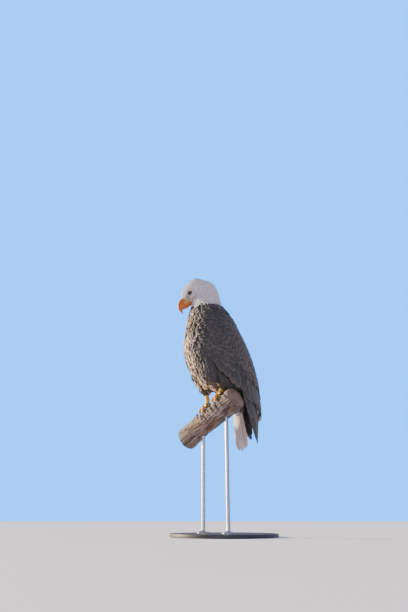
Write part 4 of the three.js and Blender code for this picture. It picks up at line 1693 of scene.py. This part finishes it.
def bark_cracks(along, turn):
    """Depth of the cracks, which run along the wood and part round its knots, and its lumps."""
    crack = np.empty(len(along))
    lump = np.empty(len(along))
    for i, (a, t) in enumerate(zip(along, turn)):
        for place, round_at, size in KNOTS:
            away = math.hypot((a - place) / size, (t - round_at) * 46 / size)
            a += 9 * math.exp(-away * away) * (1 if t > round_at else -1)
            t += 0.12 * math.exp(-away * away) * (t - round_at)
        ring = Vector((math.cos(t), math.sin(t), 0))
        wander = noise.noise(Vector((a * 0.03, ring.x, ring.y))) * 0.5
        line = noise.noise(Vector((a * 0.011, ring.x * 3.4 + wander, ring.y * 3.4)))
        fine = noise.noise(Vector((a * 0.02 + 9, ring.x * 7 + wander, ring.y * 7)))
        crack[i] = max(1 - abs(line) * 6, 0) + 0.4 * max(1 - abs(fine) * 5, 0)
        lump[i] = noise.fractal(Vector((a * 0.02, ring.x * 1.4, ring.y * 1.4)), 1.0, 2.0, 4)
    return crack, lump


def knot_rise(along, turn):
    """Raised rings of the knots, hollow in their middles."""
    rise = np.zeros(len(along))
    for place, round_at, size in KNOTS:
        away = np.hypot((along - place) / size, (turn - round_at) * 46 / size)
        rise = rise + np.exp(-(away - 0.9) ** 2 * 8) - 0.8 * np.exp(-(away * 2.2) ** 2)
    return rise


def bark_colour(g, streak, deep, worn):
    """Grey bark, warm in blotches, worn pale on its lumps and dark in its cracks."""
    blotch = g.noise(9, 4)
    bark = g.mix(g.rescale(streak, 0.3, 0.7), (0.075, 0.058, 0.05, 1), (0.23, 0.19, 0.17, 1))
    bark = g.mix(g.rescale(blotch, 0.42, 0.65, 0.0, 0.75), bark, (0.21, 0.115, 0.065, 1))
    bark = g.mix(g.rescale(worn, 0.5, 0.85, 0.0, 0.7), bark, (0.3, 0.255, 0.235, 1))
    return g.mix(g.math("MULTIPLY", deep, 0.85), bark, (0.045, 0.028, 0.02, 1))


def sawn_colour(g, grain):
    """A sawn end: growth rings, a dark outer edge and splits from the middle."""
    _, left, up = g.node("ShaderNodeSeparateXYZ", {0: grain}).outputs
    reach = g.math("POWER", g.math("ADD", g.math("MULTIPLY", left, left),
                                   g.math("MULTIPLY", up, up)), 0.5)
    wobble = g.math("MULTIPLY_ADD", g.noise(26, 5), 0.16, reach)
    ring = g.math("SINE", g.math("MULTIPLY", wobble, 150.0))
    face = g.mix(g.rescale(ring, -1.0, 1.0), (0.2, 0.135, 0.09, 1), (0.27, 0.19, 0.13, 1))
    face = g.mix(g.rescale(g.noise(25, 4), 0.45, 0.75, 0.0, 0.8), face, (0.1, 0.06, 0.04, 1))
    face = g.mix(g.rescale(reach, 0.36, 0.44, 0.0, 0.8), face, (0.08, 0.05, 0.035, 1))
    spoke = g.math("ARCTAN2", left, up)
    spoke = g.math("MULTIPLY_ADD", g.noise(14, 3), 1.6, g.math("MULTIPLY", spoke, 2.5))
    split = g.rescale(g.math("ABSOLUTE", g.math("SINE", spoke)), 0.0, 0.07, 1.0, 0.0)
    split = g.math("MULTIPLY", split, g.rescale(reach, 0.05, 0.3, 0.2, 0.9))
    return g.mix(split, face, (0.03, 0.018, 0.012, 1))


def wood_material():
    """Dead wood: weathered bark along the branch and growth rings on its sawn ends."""
    g = Graph("dead_wood", 0.82, Specular_IOR_Level=0.25)
    deep, cut, worn = g.values("wood")[:3]
    grain = g.stored("grain", "Vector")
    fibre = g.node("ShaderNodeMapping", {"Vector": grain, "Scale": (1.2, 22, 22)}).outputs[0]
    streak = g.noise(1.0, 5, fibre, 0.65)
    g.colour(g.mix(cut, bark_colour(g, streak, deep, worn), sawn_colour(g, grain)))
    g.bump(streak, 0.0016, 0.7)
    g.bump(g.noise(300, 3), 0.0006, 0.5)
    return g.material


class EAGLE_OT_perch(bpy.types.Operator):
    """Weather the dead branch: cracks along it, knots and sawn ends"""

    bl_idname = "eagle.perch"
    bl_label = "Perch"

    def execute(self, context):
        branch = rounded("branch", ["perch_branch"], BRANCH_VOXEL, 5)
        points, normals = points_of(branch), normals_of(branch)
        along, turn, off = to_perch(points)
        axis = np.array(PERCH_TURNED) @ np.array([1, 0, 0])
        sawn = ease(np.abs(normals @ axis), 0.75, 0.92) * ((along > 85) | (along < -185))
        bark = 1 - sawn
        crack, lump = bark_cracks(along, turn)
        knot = knot_rise(along, turn)
        shift = bark * (-2.2 * np.minimum(crack, 1.2) - 1.2 + 1.3 * lump + 1.6 * knot)
        shift = np.minimum(shift, 1.5) * ease(np.abs(off), -1, 0.1)
        put_points(branch, points + normals * (shift * MM)[:, None])
        apply_modifier(branch, "SMOOTH", factor=0.5, iterations=1)
        shade_smooth(branch)
        opaque = np.ones(len(points))
        colour_attribute(branch, "wood", np.stack(
            [np.clip(crack, 0, 1) * bark, sawn, np.clip(0.5 + 0.5 * lump, 0, 1), opaque], 1))
        reach = off + PERCH_RADIUS
        colour_attribute(branch, "grain", np.stack(
            [along / 100, np.cos(turn) * reach / 100, np.sin(turn) * reach / 100, opaque], 1))
        finish_piece(branch, wood_material(), ["perch_branch"])
        return {"FINISHED"}


class EAGLE_OT_stand(bpy.types.Operator):
    """Turn the round base and the two rods"""

    bl_idname = "eagle.stand"
    bl_label = "Stand"

    def execute(self, context):
        low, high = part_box("stand_base")
        deselect()
        bpy.ops.mesh.primitive_cylinder_add(
            vertices=192, radius=(high.x - low.x) / 2, depth=high.z - low.z)
        base = context.object
        base.name = base.data.name = "stand_base_disc"
        bpy.ops.object.mode_set(mode="EDIT")
        bpy.ops.mesh.select_all(action="SELECT")
        bpy.ops.transform.translate(value=(low + high) / 2)
        bpy.ops.object.mode_set(mode="OBJECT")
        apply_modifier(base, "BEVEL", width=0.002, segments=4, limit_method="ANGLE",
                       angle_limit=math.radians(40))
        take(base)
        bpy.ops.object.shade_smooth_by_angle(angle=math.radians(35))
        g = Graph("base_paint", 0.45, Specular_IOR_Level=0.45)
        g.colour(g.mix(g.noise(30, 4), (0.022, 0.023, 0.025, 1), (0.04, 0.041, 0.044, 1)))
        g.rough(g.rescale(g.noise(70, 4), 0.3, 0.7, 0.38, 0.56))
        g.bump(g.noise(1100, 2), 0.0003, 0.4)
        finish_piece(base, g.material, ["stand_base"])

        g = Graph("rod_steel", 0.3, Metallic=1.0)
        brushed = g.noise(140, 4, g.place((1, 1, 14)))
        g.colour(g.mix(brushed, (0.36, 0.37, 0.38, 1), (0.56, 0.57, 0.58, 1)))
        g.rough(g.rescale(brushed, 0.3, 0.7, 0.24, 0.42))
        g.bump(brushed, 0.0002, 0.3)
        for node in ("stand_rod_1", "stand_rod_2"):
            low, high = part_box(node)
            middle = (low + high) / 2
            outline = np.array(ROD_FOOT + ((ROD_RADIUS, (high.z - low.z) / MM),)) * MM
            turn = np.linspace(0, 2 * math.pi, ROD_SPOKES + 1)[:-1]
            radius, rise = outline[:, :1], outline[:, 1:]
            rings = np.stack([middle.x + radius * np.cos(turn), middle.y + radius * np.sin(turn),
                              low.z + rise + 0 * turn], -1)
            rod = tube(node + "_round", rings)
            bpy.ops.object.shade_smooth_by_angle(angle=math.radians(35))
            finish_piece(rod, g.material, [node])
        return {"FINISHED"}


def lay_floor():
    deselect()
    bpy.ops.mesh.primitive_circle_add(vertices=96, radius=14, fill_type="NGON")
    floor = bpy.context.object
    floor.name = "floor"
    g = Graph("floor", 0.9)
    g.colour(g.mix(g.noise(3), (0.68, 0.72, 0.78, 1), (0.72, 0.76, 0.82, 1)))
    floor.data.materials.append(g.material)


def hang_sky(scene):
    """A sky that is a deeper blue to look at than in what it lights."""
    world = bpy.data.worlds.new("sky")
    scene.world = world
    world.use_nodes = True
    nodes, links = world.node_tree.nodes, world.node_tree.links
    soft = nodes["Background"]
    blue = nodes.new("ShaderNodeBackground")
    for light, colour, strength in ((soft, (0.48, 0.56, 1.0, 1), 0.72),
                                    (blue, (0.0, 0.29, 1.0, 1), 4.2)):
        light.inputs["Color"].default_value = colour
        light.inputs["Strength"].default_value = strength
    either = nodes.new("ShaderNodeMixShader")
    links.new(nodes.new("ShaderNodeLightPath").outputs["Is Camera Ray"], either.inputs[0])
    links.new(soft.outputs[0], either.inputs[1])
    links.new(blue.outputs[0], either.inputs[2])
    links.new(either.outputs[0], nodes["World Output"].inputs["Surface"])


# Each lamp: name, kind, place, strength and colour.
LAMPS = (
    ("key", "SUN", (-2.2, -3.0, 1.6), 16.0, (1.0, 0.79, 0.54)),
    ("fill", "AREA", (3.4, -1.6, 1.4), 34, (1.0, 0.9, 0.88)),
    ("back", "AREA", (-0.6, 3.6, 2.4), 36, (1.0, 0.9, 0.82)),
)
LAMP_AIM = Vector((0, 0, 0.65))
SUN_ANGLE = math.radians(9)
LAMP_SIZE = 3


def hang_lamps():
    for name, kind, place, strength, colour in LAMPS:
        deselect()
        bpy.ops.object.light_add(type=kind, location=place)
        lamp = bpy.context.object
        lamp.name = name
        if kind == "SUN":
            lamp.data.angle = SUN_ANGLE
        else:
            lamp.data.shape = "DISK"
            lamp.data.size = LAMP_SIZE
        lamp.data.energy = strength
        lamp.data.color = colour
        way = LAMP_AIM - Vector(place)
        lamp.rotation_euler = way.to_track_quat("-Z", "Y").to_euler()


def place_camera(scene):
    view = scene.stage_sizes
    deselect()
    round_bird = Vector((math.sin(view.azimuth), -math.cos(view.azimuth), 0))
    place = round_bird * view.distance + Vector((0, 0, view.height))
    level = Matrix.Rotation(view.pan, 3, "Z") @ -round_bird
    look = level * math.cos(view.pitch) + Vector((0, 0, math.sin(view.pitch)))
    bpy.ops.object.camera_add(location=place, rotation=look.to_track_quat("-Z", "Y").to_euler())
    camera = bpy.context.object
    camera.data.lens = view.lens
    camera.data.clip_start = 0.05
    camera.data.clip_end = 60
    scene.camera = camera


class EAGLE_OT_stage(bpy.types.Operator):
    """Set the floor, the sky, the lamps and the camera"""

    bl_idname = "eagle.stage"
    bl_label = "Stage"

    def execute(self, context):
        bpy.data.objects.remove(Bird.form)
        lay_floor()
        hang_sky(context.scene)
        hang_lamps()
        place_camera(context.scene)
        return {"FINISHED"}


class EAGLE_PT_panel(bpy.types.Panel):
    """The steps of the model, in order"""

    bl_idname = "EAGLE_PT_panel"
    bl_label = "Eagle"
    bl_space_type = "VIEW_3D"
    bl_region_type = "UI"
    bl_category = "Eagle"

    def draw(self, context):
        for step in STEPS:
            self.layout.operator(step.bl_idname)


GROUPS = (
    ("eagle_sizes", EagleSizes),
    ("eagle_colours", EagleColours),
    ("stage_sizes", StageSizes),
)
STEPS = (
    EAGLE_OT_skin, EAGLE_OT_hood, EAGLE_OT_body, EAGLE_OT_wings, EAGLE_OT_tail,
    EAGLE_OT_eyes, EAGLE_OT_bill, EAGLE_OT_talons, EAGLE_OT_perch, EAGLE_OT_stand,
    EAGLE_OT_stage,
)


def register():
    for _, group in GROUPS:
        bpy.utils.register_class(group)
    for step in STEPS:
        bpy.utils.register_class(step)
    bpy.utils.register_class(EAGLE_PT_panel)
    for name, group in GROUPS:
        setattr(bpy.types.Scene, name, PointerProperty(type=group))


def unregister():
    for name, _ in GROUPS:
        delattr(bpy.types.Scene, name)
    bpy.utils.unregister_class(EAGLE_PT_panel)
    for step in reversed(STEPS):
        bpy.utils.unregister_class(step)
    for _, group in reversed(GROUPS):
        bpy.utils.unregister_class(group)


def main():
    register()
    for step in STEPS:
        family, call = step.bl_idname.split(".")
        getattr(getattr(bpy.ops, family), call)()


if __name__ == "__main__":
    main()
